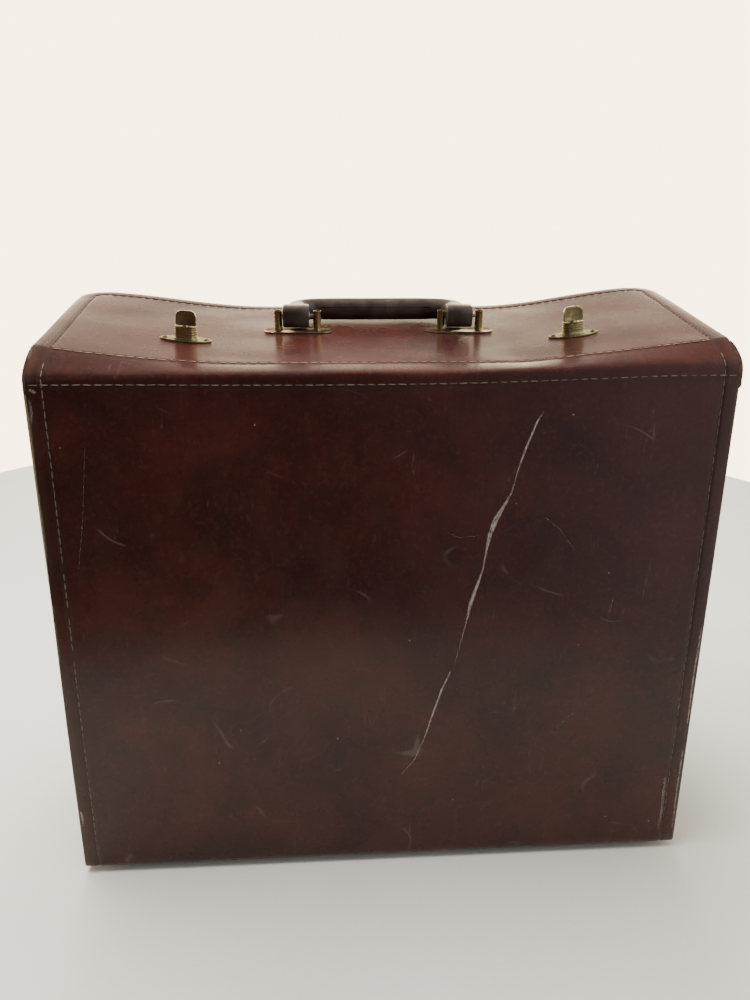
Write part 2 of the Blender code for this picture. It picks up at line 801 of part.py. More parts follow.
def grip_tube(frame):
    """The grip and its two arms: a bent tube, made a mesh so that it can be cut."""
    bend = 0.016
    turns = [i * math.pi / 8 for i in range(5)]
    corner = [
        (BRACKET_X - bend * (1 - math.cos(turn)), GRIP_REACH - bend * (1 - math.sin(turn)))
        for turn in turns
    ]
    route = [(BRACKET_X, 0.001)] + corner
    route = [(-x, y) for x, y in route] + list(reversed(route))
    curve = bpy.data.curves.new("grip_route", "CURVE")
    curve.dimensions = "3D"
    curve.bevel_depth = GRIP_RADIUS
    curve.bevel_resolution = 4
    curve.use_fill_caps = True
    spline = curve.splines.new("POLY")
    spline.points.add(len(route) - 1)
    for point, (x, y) in zip(spline.points, route):
        point.co = (x, y, -GRIP_DROP * y / GRIP_REACH, 1)
    guide = place("grip_route", curve, frame)
    bpy.context.view_layer.update()
    graph = bpy.context.evaluated_depsgraph_get()
    mesh = bpy.data.meshes.new_from_object(guide.evaluated_get(graph))
    bpy.data.objects.remove(guide)
    bm = bmesh.new()
    bm.from_mesh(mesh)
    bpy.data.meshes.remove(mesh)
    bmesh.ops.remove_doubles(bm, verts=bm.verts[:], dist=0.00001)
    return place("handle_grip", smooth(to_mesh(bm, "handle_grip")), frame, "plastic")


def hang(name, hinge, words):
    """An empty on a flap's hinge, which carries each piece and cutter that turns with the flap."""
    pivot = bpy.data.objects.new(name, None)
    pivot.location = hinge
    PARTS.objects.link(pivot)
    bpy.context.view_layer.update()
    for obj in PARTS.objects[:] + CUTTERS.objects[:]:
        if obj != pivot and obj.parent is None and any(word in obj.name for word in words):
            obj.parent = pivot
            obj.matrix_parent_inverse = pivot.matrix_world.inverted()


clear_scene()
PARTS = add_collection("sample_case")
CUTTERS = add_collection("cutters")
make_body()
make_outer_flap()
make_inner_flap()
make_hinge_strips()
for hand, label in ((-1, "left"), (1, "right")):
    make_lock(hand, label)
    make_bracket(hand, label)
make_handle()
hang("outer_flap_hinge", OUTER_HINGE, OUTER_FLAP_WORDS)
hang("inner_flap_hinge", INNER_HINGE, INNER_FLAP_WORDS)
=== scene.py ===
"""Looks of a top-opening sample case in oxblood leatherette. Metres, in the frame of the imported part."""

import math
import random

import bmesh
import bpy
from mathutils import Matrix, Vector, noise


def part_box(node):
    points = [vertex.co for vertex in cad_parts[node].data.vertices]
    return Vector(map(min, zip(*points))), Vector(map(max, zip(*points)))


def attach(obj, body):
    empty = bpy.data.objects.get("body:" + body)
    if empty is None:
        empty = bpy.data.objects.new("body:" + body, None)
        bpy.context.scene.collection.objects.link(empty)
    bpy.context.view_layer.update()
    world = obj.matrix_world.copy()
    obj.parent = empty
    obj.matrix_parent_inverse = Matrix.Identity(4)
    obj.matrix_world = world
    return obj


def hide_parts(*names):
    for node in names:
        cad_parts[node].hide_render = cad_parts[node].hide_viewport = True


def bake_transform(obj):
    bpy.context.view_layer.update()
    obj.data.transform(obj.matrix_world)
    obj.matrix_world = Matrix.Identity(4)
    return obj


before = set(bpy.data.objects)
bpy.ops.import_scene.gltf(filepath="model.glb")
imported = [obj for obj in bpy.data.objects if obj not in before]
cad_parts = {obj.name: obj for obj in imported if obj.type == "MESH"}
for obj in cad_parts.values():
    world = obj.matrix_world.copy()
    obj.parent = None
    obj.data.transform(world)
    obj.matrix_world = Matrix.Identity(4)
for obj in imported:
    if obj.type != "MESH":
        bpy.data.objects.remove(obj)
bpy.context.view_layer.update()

random.seed(7)

# Places and sizes that the frame gives
HALF_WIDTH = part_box("wrap_skin")[1].x
HALF_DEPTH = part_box("wrap_skin")[1].y
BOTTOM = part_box("wrap_skin")[0].z
NEAR_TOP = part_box("near_board")[1].z
FAR_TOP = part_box("far_board")[1].z
FLAP_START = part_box("outer_flap_cover")[0].y
INNER_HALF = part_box("inner_flap_cover")[1].x
INNER_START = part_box("inner_flap_cover")[0].y
INNER_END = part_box("inner_flap_cover")[1].y
END_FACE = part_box("right_end_skin")[1].x

# Upper face of the outer flap, by the same rule as the part
START_HEIGHT = 0.4033
SLOPE = 0.1297
LEVEL = 0.092
NEAR_RISE = {-1: (0.0128, 1.75), 1: (0.0158, 1.1)}  # height and power, for each side
FAR_RISE = {-1: 0.0130, 1: 0.0165}
CORNER = 0.020
INNER_CORNER = 0.012
INNER_AT = 0.0078

# Skin and its rolled edges
SKIN = 0.0008
ROLL = 0.0016
WALL_EDGE = 0.0067
STRIP_EDGE = 0.0026
FLAP_EDGE = 0.0052
INNER_EDGE = 0.0050
PROUD = 0.0011  # how far a rolled edge stands out past the boards

# Seams
EDGE_SEAM = 0.0105  # from the edge to the line of stitches
INNER_SEAM = 0.008
FAR_SEAM = 0.006  # below the top of the far wall
GROOVE_DEPTH = 0.00035
GROOVE_WIDTH = 0.0014
DOWN = Vector((0, 0, -1))
OVER_WALL = NEAR_TOP + 0.004  # above this height the near skin has left its wall
PITCH = 0.0068
STITCH = (0.0030, 0.00040, 0.00036)  # half length, half width, half height

# Hardware
LOCK = (0.145, -0.024)
LOCK_PLATE = (0.0190, 0.0075)  # half length and half width
LOCK_RIVET = 0.0150
COLLAR_TOP = 0.0105
TAB = (0.0145, 0.0030, 0.0108)
KEEPER_RIVET = 0.0125
SLOT = (0.0040, 0.0050)  # half length of the straight part, and radius
SLOT_COLUMNS = [side * (LOCK[0] + step) for side in (-1, 1) for step in (-0.0075, -0.0025, 0.0025, 0.0075)]
SLOT_ROWS = [LOCK[1] + step for step in (-0.0030, 0.0010, 0.0050)]
BRACKET = (0.0635, 0.010)
BRACKET_PLATE = (0.0265, 0.0070)
PIN_HEIGHT = 0.0125
POST = 0.0150  # from the middle of the plate
KEEPER_TOP = -0.0125
KEEPER_LOW = -0.0135


def flap_top(x, y):
    along = (y - FLAP_START) / (HALF_DEPTH - FLAP_START)
    outward = max(0.0, (abs(x) - LEVEL) / (HALF_WIDTH - LEVEL))
    side = -1 if x < 0 else 1
    rise, power = NEAR_RISE[side]
    near = rise * outward**power
    far = FAR_RISE[side] * outward * outward * (3 - 2 * outward)
    return START_HEIGHT + SLOPE * (y - FLAP_START) + near * (1 - along) + far * along


def face_frame(x, y, level=False):
    """Frame on the flap's upper face, with Z along its normal."""
    step = 0.001
    rise = 0 if level else (flap_top(x + step, y) - flap_top(x - step, y)) / (2 * step)
    across = Vector((1, 0, rise)).normalized()
    normal = across.cross(Vector((0, 1, SLOPE))).normalized()
    matrix = Matrix((across, normal.cross(across), normal)).transposed().to_4x4()
    matrix.translation = (x, y, flap_top(x, y))
    return matrix


def smooth(low, high, value):
    share = min(1.0, max(0.0, (value - low) / (high - low)))
    return share * share * (3 - 2 * share)


# ---------------------------------------------------------------- node helpers


def add(tree, kind, inputs=None, **settings):
    """A node of this kind. INPUTS gives a socket its value, or the output that it reads."""
    made = tree.nodes.new(kind)
    for key, value in settings.items():
        setattr(made, key, value)
    for key, value in (inputs or {}).items():
        if isinstance(value, bpy.types.NodeSocket):
            tree.links.new(value, made.inputs[key])
        else:
            made.inputs[key].default_value = value
    return made


def calc(tree, operation, *values, clamp=False):
    inputs = dict(enumerate(values))
    return add(tree, "ShaderNodeMath", inputs, operation=operation, use_clamp=clamp).outputs[0]


def times(tree, first, second):
    return calc(tree, "MULTIPLY", first, second)


def blend_colour(tree, share, first, second):
    ends = [end if isinstance(end, bpy.types.NodeSocket) else (*end, 1) for end in (first, second)]
    inputs = {0: share, 6: ends[0], 7: ends[1]}  # the sockets for two colours
    return add(tree, "ShaderNodeMix", inputs, data_type="RGBA").outputs[2]


def ranged(tree, value, low, high, to_low=0.0, to_high=1.0):
    inputs = {"Value": value, 1: low, 2: high, 3: to_low, 4: to_high}
    made = add(tree, "ShaderNodeMapRange", inputs, interpolation_type="SMOOTHSTEP")
    return made.outputs["Result"]


def layered(tree, colour, *layers):
    """COLOUR under layers of (field, low, high, strength, colour)."""
    for field, low, high, strength, over in layers:
        colour = blend_colour(tree, ranged(tree, field, low, high, 0.0, strength), colour, over)
    return colour


def object_coords(tree, scale=(1, 1, 1), turn=(0, 0, 0)):
    coords = add(tree, "ShaderNodeTexCoord").outputs["Object"]
    inputs = {"Vector": coords, "Scale": scale, "Rotation": turn}
    return add(tree, "ShaderNodeMapping", inputs).outputs[0]


def grain_noise(tree, coords, scale, detail=3.0, roughness=0.55, distortion=0.0):
    sockets = ("Vector", "Scale", "Detail", "Roughness", "Distortion")
    inputs = dict(zip(sockets, (coords, scale, detail, roughness, distortion)))
    return add(tree, "ShaderNodeTexNoise", inputs).outputs[0]


def cells(tree, coords, scale):
    return add(tree, "ShaderNodeTexVoronoi", {"Vector": coords, "Scale": scale}, feature="F1").outputs


def attribute(tree, name):
    return add(tree, "ShaderNodeAttribute", attribute_name=name).outputs["Fac"]


def new_group(name, **numbers):
    """A shader node group whose inputs are numbers with a start value."""
    group = bpy.data.node_groups.new(name, "ShaderNodeTree")
    for label, value in numbers.items():
        label = label.replace("_", " ")
        socket = group.interface.new_socket(label, in_out="INPUT", socket_type="NodeSocketFloat")
        socket.default_value = value
    return group, add(group, "NodeGroupInput").outputs


def end_group(group, **results):
    """Gives a node group its outputs."""
    for label in results:
        group.interface.new_socket(label, in_out="OUTPUT", socket_type="NodeSocketFloat")
    add(group, "NodeGroupOutput", results)
    return group


def use(tree, group, **numbers):
    inputs = {label.replace("_", " "): value for label, value in numbers.items()}
    return add(tree, "ShaderNodeGroup", inputs, node_tree=group).outputs


def leather_grain_group():
    """Fine pores and soft creases, as a height, and broad unevenness."""
    group, given = new_group("leather grain", Pore_Scale=1500.0, Crease=0.35)
    coords = object_coords(group)
    pores = cells(group, coords, given["Pore Scale"])["Distance"]
    creases = times(group, grain_noise(group, coords, 420.0, 4.0, 0.6, 0.4), given["Crease"])
    height = calc(group, "ADD", creases, times(group, pores, 0.5))
    return end_group(group, Height=height, Unevenness=grain_noise(group, coords, 38.0, 3.0, 0.5))


def scratches_group():
    """Sparse hairline scratches that run two ways, and a few specks."""
    group, given = new_group("fine scratches", Amount=0.5)
    coords = object_coords(group)
    lines = []
    for turn, stretch in (((0.5, 0.35, 0.9), (6, 190, 9)), ((-0.4, 0.6, -0.7), (170, 5, 11))):
        stretched = object_coords(group, scale=stretch, turn=turn)
        field = grain_noise(group, stretched, 1.0, 2.0, 0.5, 0.15)
        off = calc(group, "ABSOLUTE", calc(group, "SUBTRACT", field, 0.5))
        lines.append(ranged(group, off, 0.006, 0.0))
    patches = ranged(group, grain_noise(group, coords, 30.0, 2.0), 0.52, 0.68)
    mask = times(group, times(group, calc(group, "MAXIMUM", *lines), patches), given["Amount"])
    dots = cells(group, coords, 55.0)
    chance = add(group, "ShaderNodeSeparateColor", {"Color": dots["Color"]}).outputs[0]
    rare = calc(group, "GREATER_THAN", chance, 0.86)
    specks = times(group, ranged(group, dots["Distance"], 0.045, 0.02), rare)
    return end_group(group, Mask=mask, Specks=specks)


def wear_group():
    """Wear that fades in from an edge, broken up by noise. Distance is in millimetres."""
    group, given = new_group("edge wear", Distance=10.0, Reach=4.0)
    coords = object_coords(group)
    ragged = calc(group, "SUBTRACT", grain_noise(group, coords, 260.0, 5.0, 0.65), 0.5)
    patchy = ranged(group, grain_noise(group, coords, 22.0, 2.0), 0.42, 0.66)
    share = calc(group, "DIVIDE", given["Distance"], given["Reach"])
    near = calc(group, "SUBTRACT", 1.0, share, clamp=True)
    seen = times(group, near, patchy)
    return end_group(group, Mask=ranged(group, calc(group, "ADD", seen, ragged), 0.34, 0.62))


def weave_group():
    """Plain weave seen as a height, with threads of uneven thickness."""
    group, given = new_group("plain weave", Threads=1600.0)
    coords = object_coords(group)
    parts = add(group, "ShaderNodeSeparateXYZ", {"Vector": coords}).outputs
    wobble = times(group, grain_noise(group, coords, 300.0, 2.0), 0.0008)
    waves = []
    for axis in (0, 1):
        across = calc(group, "ADD", calc(group, "ADD", parts[axis], wobble), times(group, parts[2], axis))
        waves.append(calc(group, "SINE", times(group, across, given["Threads"])))
    height = ranged(group, times(group, *waves), -1.0, 1.0)
    return end_group(group, Height=height, Thread=grain_noise(group, coords, 700.0, 3.0))


def tarnish_group():
    """Blotches of tarnish and fine rub marks on metal."""
    group, given = new_group("tarnish", Scale=160.0)
    blotches = grain_noise(group, object_coords(group), given["Scale"], 5.0, 0.62, 0.3)
    fine = grain_noise(group, object_coords(group, scale=(1, 1, 7)), 1500.0, 3.0, 0.6)
    mask, rubbed = ranged(group, blotches, 0.42, 0.68), ranged(group, fine, 0.35, 0.7)
    return end_group(group, Mask=mask, Rubbed=rubbed, Height=fine)


GRAIN = leather_grain_group()
SCRATCHES = scratches_group()
WEAR = wear_group()
WEAVE = weave_group()
TARNISH = tarnish_group()


def new_material(name, **constants):
    """A material with a Principled shader, whose constant sockets are set here."""
    material = bpy.data.materials.new(name)
    material.use_nodes = True
    tree = material.node_tree
    for key, value in constants.items():
        tree.nodes["Principled BSDF"].inputs[key.replace("_", " ")].default_value = value
    return material, tree


def finish_surface(material, colour, roughness, height, strength, distance, **more):
    """Joins what changes over the surface to the material's shader."""
    tree = material.node_tree
    bump = add(tree, "ShaderNodeBump", {"Height": height, "Strength": strength, "Distance": distance})
    sockets = {"Base Color": colour, "Roughness": roughness, "Normal": bump.outputs[0], **more}
    for key, value in sockets.items():
        tree.links.new(value, tree.nodes["Principled BSDF"].inputs[key.replace("_", " ")])
    return material


# ---------------------------------------------------------------- materials

DARK_OXBLOOD = (0.0235, 0.0086, 0.0080)
RED_OXBLOOD = (0.060, 0.0160, 0.0130)
UMBER = (0.0245, 0.0122, 0.0114)
RUST = (0.120, 0.036, 0.024)
GRIME = (0.030, 0.015, 0.011)
EDGE_BROWN = (0.050, 0.026, 0.018)
WORN_FIBRE = (0.27, 0.20, 0.15)
SCUFF = (0.34, 0.27, 0.25)


def leatherette():
    """Glossy oxblood coating, mottled from black-brown to red, worn at its edges and seams."""
    material, tree = new_material(
        "oxblood_leatherette", Coat_Roughness=0.18, Coat_IOR=1.45, Specular_IOR_Level=0.17
    )
    coords = object_coords(tree)
    cloud = grain_noise(tree, coords, 11.0, 6.0, 0.62, 0.6)
    second = grain_noise(tree, object_coords(tree, turn=(0.6, 0.2, 1.1)), 34.0, 4.0, 0.6, 0.3)
    fine = grain_noise(tree, coords, 330.0, 4.0, 0.6)
    seam = attribute(tree, "seam")
    edge_mm = times(tree, attribute(tree, "border"), 1000.0)
    mottled = [(cloud, 0.25, 0.78, 1.0, RED_OXBLOOD), (second, 0.50, 0.74, 0.55, UMBER)]
    colour = layered(tree, DARK_OXBLOOD, *mottled, (fine, 0.50, 0.78, 0.35, RUST))
    colour = blend_colour(tree, times(tree, seam, 0.6), colour, GRIME)
    colour = layered(tree, colour, (edge_mm, 7.0, 1.0, 0.55, EDGE_BROWN))
    worn = times(tree, use(tree, WEAR, Distance=edge_mm, Reach=1.1)["Mask"], 0.34)
    colour = blend_colour(tree, times(tree, worn, 0.6), colour, WORN_FIBRE)
    marks = use(tree, SCRATCHES, Amount=0.16)
    colour = blend_colour(tree, marks["Mask"], colour, SCUFF)
    colour = blend_colour(tree, times(tree, marks["Specks"], 0.7), colour, SCUFF)
    grain = use(tree, GRAIN, Pore_Scale=1500.0, Crease=0.5)
    dulled = times(tree, calc(tree, "ADD", worn, times(tree, seam, 0.3)), 0.35)
    roughness = calc(tree, "ADD", ranged(tree, grain["Unevenness"], 0.35, 0.7, 0.24, 0.34), dulled)
    coat = calc(tree, "SUBTRACT", 0.16, times(tree, worn, 0.16), clamp=True)
    torn = times(tree, calc(tree, "ADD", marks["Mask"], worn), -0.6)
    height = calc(tree, "ADD", grain["Height"], torn)
    return finish_surface(material, colour, roughness, height, 0.10, 0.00025, Coat_Weight=coat)


def thread(name, light, dark):
    """Waxed sewing thread with a visible twist and some dirt."""
    material, tree = new_material(name, Sheen_Weight=0.25, Specular_IOR_Level=0.3)
    coords = object_coords(tree)
    inputs = {"Vector": coords, "Scale": 480.0, "Distortion": 3.0, "Detail": 2.0}
    twist = add(tree, "ShaderNodeTexWave", inputs, bands_direction="DIAGONAL").outputs["Fac"]
    dirt = grain_noise(tree, coords, 90.0, 4.0, 0.6)
    twisted = blend_colour(tree, times(tree, twist, 0.45), light, dark)
    colour = layered(tree, twisted, (dirt, 0.45, 0.62, 0.75, dark))
    roughness = ranged(tree, dirt, 0.3, 0.7, 0.6, 0.85)
    return finish_surface(material, colour, roughness, twist, 0.6, 0.0001)


def metal(name, bright, tarnished, shine, dull, scale=160.0):
    """Plated or solid metal with tarnish in blotches and rubbed spots."""
    material, tree = new_material(name, Metallic=1.0, Specular_IOR_Level=0.5)
    tarnish = use(tree, TARNISH, Scale=scale)
    marks = use(tree, SCRATCHES, Amount=0.8)
    colour = blend_colour(tree, times(tree, tarnish["Mask"], 0.85), bright, tarnished)
    for mask, strength in ((tarnish["Rubbed"], 0.25), (marks["Mask"], 0.5)):
        colour = blend_colour(tree, times(tree, mask, strength), colour, bright)
    roughness = ranged(tree, tarnish["Mask"], 0.0, 1.0, shine, dull)
    height = calc(tree, "SUBTRACT", tarnish["Height"], marks["Mask"])
    return finish_surface(material, colour, roughness, height, 0.12, 0.0001)


def moulded_plastic():
    """Glossy dark brown plastic with a faint leather-like mould texture and rubbed patches."""
    material, tree = new_material(
        "brown_moulded_plastic", Coat_Weight=0.25, Coat_Roughness=0.14, Specular_IOR_Level=0.4
    )
    coords = object_coords(tree)
    cloud = grain_noise(tree, coords, 60.0, 4.0, 0.6)
    marks = use(tree, SCRATCHES, Amount=0.9)
    colour = layered(tree, (0.030, 0.022, 0.018), (cloud, 0.35, 0.7, 1.0, (0.060, 0.045, 0.037)))
    colour = blend_colour(tree, times(tree, marks["Mask"], 0.5), colour, (0.16, 0.13, 0.11))
    roughness = ranged(tree, grain_noise(tree, coords, 24.0, 3.0), 0.4, 0.65, 0.28, 0.42)
    grain = use(tree, GRAIN, Pore_Scale=900.0, Crease=0.3)
    return finish_surface(material, colour, roughness, grain["Height"], 0.08, 0.0002)


def fibreboard():
    """Raw grey-brown board, laid up in thin layers with loose fibres."""
    material, tree = new_material("fibreboard", Specular_IOR_Level=0.2)
    fibres = grain_noise(tree, object_coords(tree, scale=(1, 1, 6)), 420.0, 6.0, 0.7, 0.5)
    cloud = grain_noise(tree, object_coords(tree), 30.0, 3.0)
    layers = [(fibres, 0.35, 0.7, 1.0, (0.40, 0.31, 0.20)), (cloud, 0.45, 0.7, 0.4, (0.15, 0.10, 0.06))]
    colour = layered(tree, (0.20, 0.14, 0.085), *layers)
    roughness = ranged(tree, fibres, 0.3, 0.7, 0.8, 0.95)
    return finish_surface(material, colour, roughness, fibres, 0.5, 0.0003)


def lining_cloth():
    """Tan book cloth glued to the boards, darker where hands and boxes have rubbed it."""
    material, tree = new_material("tan_lining_cloth", Sheen_Weight=0.2, Specular_IOR_Level=0.25)
    coords = object_coords(tree)
    weave = use(tree, WEAVE, Threads=4200.0)
    cloud = grain_noise(tree, coords, 12.0, 4.0, 0.6)
    stain = grain_noise(tree, coords, 5.0, 5.0, 0.65, 0.8)
    colour = blend_colour(tree, weave["Height"], (0.20, 0.145, 0.095), (0.36, 0.28, 0.19))
    layers = [
        (weave["Thread"], 0.4, 0.7, 0.4, (0.43, 0.35, 0.25)),
        (cloud, 0.45, 0.7, 0.35, (0.19, 0.13, 0.08)),
        (stain, 0.56, 0.70, 0.3, (0.11, 0.08, 0.055)),
    ]
    roughness = ranged(tree, cloud, 0.3, 0.7, 0.78, 0.92)
    return finish_surface(material, layered(tree, colour, *layers), roughness, weave["Height"], 0.5, 0.0002)


def scuff_material():
    """Torn, whitened coating along a scratch. It fades out to both sides."""
    material, tree = new_material("scuffed_coating", Specular_IOR_Level=0.35)
    stretched = object_coords(tree, scale=(1, 1, 0.18), turn=(0, 0.25, 0))
    fibres = grain_noise(tree, stretched, 1900.0, 4.0, 0.65)
    patches = grain_noise(tree, object_coords(tree), 130.0, 3.0)
    colour = layered(tree, (0.12, 0.085, 0.08), (fibres, 0.35, 0.65, 1.0, (0.50, 0.44, 0.40)))
    frayed = times(tree, calc(tree, "SUBTRACT", fibres, 0.5), 1.1)
    body = ranged(tree, calc(tree, "ADD", attribute(tree, "side"), frayed), 1.0, 0.45)
    alpha = times(tree, body, ranged(tree, patches, 0.25, 0.5, 0.55, 1.0))
    alpha = times(tree, alpha, attribute(tree, "strength"))
    roughness = ranged(tree, fibres, 0.3, 0.7, 0.5, 0.8)
    return finish_surface(material, colour, roughness, fibres, 0.4, 0.0002, Alpha=alpha)


def floor_material():
    """Pale painted floor with faint clouds and dust."""
    material, tree = new_material("pale_floor", Specular_IOR_Level=0.3)
    coords = object_coords(tree)
    cloud = grain_noise(tree, coords, 2.2, 5.0, 0.6)
    dust = grain_noise(tree, coords, 160.0, 4.0, 0.6)
    layers = [(cloud, 0.3, 0.7, 1.0, (0.82, 0.86, 0.79)), (dust, 0.55, 0.8, 0.25, (0.62, 0.64, 0.59))]
    colour = layered(tree, (0.74, 0.79, 0.72), *layers)
    return finish_surface(material, colour, ranged(tree, dust, 0.3, 0.7, 0.5, 0.65), dust, 0.08, 0.0004)


LEATHER = leatherette()
PALE_THREAD = thread("pale_thread", (0.21, 0.165, 0.135), (0.08, 0.052, 0.042))
WORN_THREAD = thread("worn_thread", (0.15, 0.105, 0.085), (0.05, 0.03, 0.025))
BEIGE_THREAD = thread("beige_thread", (0.42, 0.28, 0.21), (0.20, 0.11, 0.085))
DARK_THREAD = thread("dark_thread", (0.050, 0.010, 0.008), (0.015, 0.005, 0.004))
BRASS = metal("aged_brass", (0.44, 0.39, 0.20), (0.19, 0.165, 0.08), 0.26, 0.46)
BRIGHT_BRASS = metal("rubbed_brass", (0.56, 0.52, 0.27), (0.30, 0.27, 0.125), 0.22, 0.42)
ROSE_BRASS = metal("pale_rose_brass", (0.58, 0.44, 0.30), (0.30, 0.21, 0.14), 0.30, 0.50)
STEEL = metal("plated_steel", (0.50, 0.49, 0.46), (0.20, 0.18, 0.155), 0.28, 0.50, 90.0)
DARK_STEEL = metal("blackened_steel", (0.060, 0.052, 0.046), (0.030, 0.026, 0.022), 0.35, 0.6, 90.0)
PLASTIC = moulded_plastic()
BOARD = fibreboard()
CLOTH = lining_cloth()
SCUFFED = scuff_material()


# ---------------------------------------------------------------- piece helpers


def piece(name, bm, material, smooth_angle=35.0, recalc=False):
    """Ends a bmesh as an object at the origin."""
    if recalc:
        bmesh.ops.recalc_face_normals(bm, faces=bm.faces[:])
    mesh = bpy.data.meshes.new(name)
    bm.to_mesh(mesh)
    bm.free()
    mesh.shade_smooth()
    mesh.set_sharp_from_angle(angle=math.radians(smooth_angle))
    obj = bpy.data.objects.new(name, mesh)
    bpy.context.scene.collection.objects.link(obj)
    mesh.materials.append(material)
    return obj


def thicken(obj, thickness):
    modifier = obj.modifiers.new("thickness", "SOLIDIFY")
    modifier.thickness = thickness
    modifier.offset = -1
    modifier.use_quality_normals = True
    return obj


def spaced(start, end, step, fine_at=(), fine_step=0.0009, reach=0.0032):
    """Places from START to END, close together near the lines where a seam pulls the sheet in."""
    count = max(2, round((end - start) / step))
    places = [start + (end - start) * i / count for i in range(count + 1)]
    for line in fine_at:
        places = [p for p in places if abs(p - line) > reach or p in (start, end)]
        number = round(reach / fine_step)
        near = [line + fine_step * i for i in range(-number, number + 1)]
        places += [p for p in near if start < p < end]
    return sorted(places)


def mapped_sheet(across, along, point):
    """A grid whose columns and rows stand at ACROSS and ALONG, placed by POINT."""
    bm = bmesh.new()
    wide, long = len(across) - 1, len(along) - 1
    bmesh.ops.create_grid(bm, x_segments=wide, y_segments=long, size=1)
    for vert in bm.verts:
        column = round((vert.co.x + 1) / 2 * wide)
        row = round((vert.co.y + 1) / 2 * long)
        vert.co = point(across[column], along[row])
    return bm


def face_way(bm, face, way):
    """Makes all faces agree, with FACE towards WAY."""
    bmesh.ops.recalc_face_normals(bm, faces=bm.faces[:])
    if face.normal.dot(way) < 0:
        bmesh.ops.reverse_faces(bm, faces=bm.faces[:])


def roll_edges(bm, edges, depth, radius=ROLL, steps=3):
    """Rolls a sheet's border round the edge of the boards that it covers."""
    bm.normal_update()
    outward, normal = {}, {}
    for edge in edges:
        face = edge.link_faces[0]
        line = (edge.verts[1].co - edge.verts[0].co).normalized()
        away = (edge.verts[0].co + edge.verts[1].co) / 2 - face.calc_center_median()
        away = (away - away.dot(line) * line).normalized()
        for vert in edge.verts:
            outward[vert] = outward.get(vert, Vector()) + away
            normal[vert] = vert.normal.copy()
    base = {}
    for vert, away in outward.items():
        away = (away - away.dot(normal[vert]) * normal[vert]).normalized()
        base[vert] = (vert.co.copy(), away, normal[vert], depth(vert.co))
    quarter = [math.pi / 2 * (i + 1) / steps for i in range(steps)]
    rings = [(math.sin(turn), 1 - math.cos(turn), 0) for turn in quarter]
    rings += [(math.cos(turn), math.sin(turn) - 2, 1) for turn in [0] + quarter]
    rings.append((-2.0, -1.0, 1))
    current = list(edges)
    for out, down, share in rings:
        made = bmesh.ops.extrude_edge_only(bm, edges=current)["geom"]
        current = [item for item in made if isinstance(item, bmesh.types.BMEdge)]
        current = [edge for edge in current if len(edge.link_faces) == 1 and all(
            vert not in base for vert in edge.verts
        )]
        moved = {}
        for vert in {vert for edge in current for vert in edge.verts}:
            old = next(edge.other_vert(vert) for edge in vert.link_edges if edge.other_vert(vert) in base)
            moved[vert] = base[old]
        for vert, (co, away, up, thick) in moved.items():
            drop = radius * down + thick * share
            vert.co = co + away * radius * out - up * drop
        base = moved
    return bm


def mark_sheet(bm, border, seam):
    """Stores each point's distance to the sheet's border and how close a seam is to it."""
    border_layer = bm.verts.layers.float.new("border")
    seam_layer = bm.verts.layers.float.new("seam")
    for vert in bm.verts:
        vert[border_layer] = border(vert.co)
        vert[seam_layer] = seam(vert.co)


def skinned(bm, count, segments, place, hollow=False):
    """A closed skin through COUNT rings. PLACE gives a ring's point at an angle."""
    verts = bmesh.ops.create_circle(bm, segments=segments, radius=1, cap_ends=False)["verts"]
    turns = {vert: math.atan2(vert.co.y, vert.co.x) for vert in verts}
    edges = list({edge for vert in verts for edge in vert.link_edges})
    first, everything = list(edges), list(verts)
    for index in range(count):
        if index:
            geom = bmesh.ops.extrude_edge_only(bm, edges=edges)["geom"]
            fresh = [item for item in geom if isinstance(item, bmesh.types.BMVert)]
            below = {vert: [e.other_vert(vert) for e in vert.link_edges] for vert in fresh}
            turns = {vert: next(turns[old] for old in below[vert] if old in turns) for vert in fresh}
            edges = [e for e in geom if isinstance(e, bmesh.types.BMEdge)]
            edges = [e for e in edges if all(vert in turns for vert in e.verts)]
            everything += fresh
        for vert, turn in turns.items():
            vert.co = place(index, turn)
    if hollow:
        bmesh.ops.bridge_loops(bm, edges=first + edges)
    else:
        bmesh.ops.holes_fill(bm, edges=first + edges)
    return everything


def lofted(bm, rings, segments, matrix, straight=False, hollow=False):
    """A skin through RINGS of (height, half length, half width) of an oval, or of a straight-sided slot."""

    def place(index, turn):
        height, a, b = rings[index]
        c, s = math.cos(turn), math.sin(turn)
        if straight:
            return math.copysign(a - b, c) * (abs(c) > 1e-6) + b * c, b * s, height
        return a * c, b * s, height

    made = skinned(bm, len(rings), segments, place, hollow)
    bmesh.ops.transform(bm, matrix=matrix, verts=made)


def turned(bm, rings, segments, matrix, hollow=False):
    """A round skin through RINGS of (height, radius)."""
    lofted(bm, [(height, radius, radius) for height, radius in rings], segments, matrix, hollow=hollow)


def swept(bm, route, power, segments):
    """A tube along ROUTE, a list of (centre, across, up, half size). More POWER gives squarer sections."""

    def place(index, turn):
        centre, across, up, size = route[index]
        x, y = (math.copysign(abs(v) ** (2 / power), v) for v in (math.cos(turn), math.sin(turn)))
        return centre + across * (x * size) + up * (y * size)

    skinned(bm, len(route), segments, place)


# ---------------------------------------------------------------- skins

NEAR_BLEND = ((0, -HALF_DEPTH, NEAR_TOP), (0, -HALF_DEPTH - 0.0008, NEAR_TOP + 0.0102))
FAR_BLEND = ((0, HALF_DEPTH, FAR_TOP), (0, HALF_DEPTH - 0.0045, FAR_TOP + 0.0150))
FOLD = 0.004  # radius of the folds at the bottom
NEAR_BULGE = 0.0028
FAR_BULGE = 0.0018
LAP = 0.012  # how far the near skin goes under the bottom
FOLD_ARC = FOLD * math.pi / 2
SHEET_HALF = HALF_WIDTH - ROLL + PROUD
SEAM_X = HALF_WIDTH - EDGE_SEAM


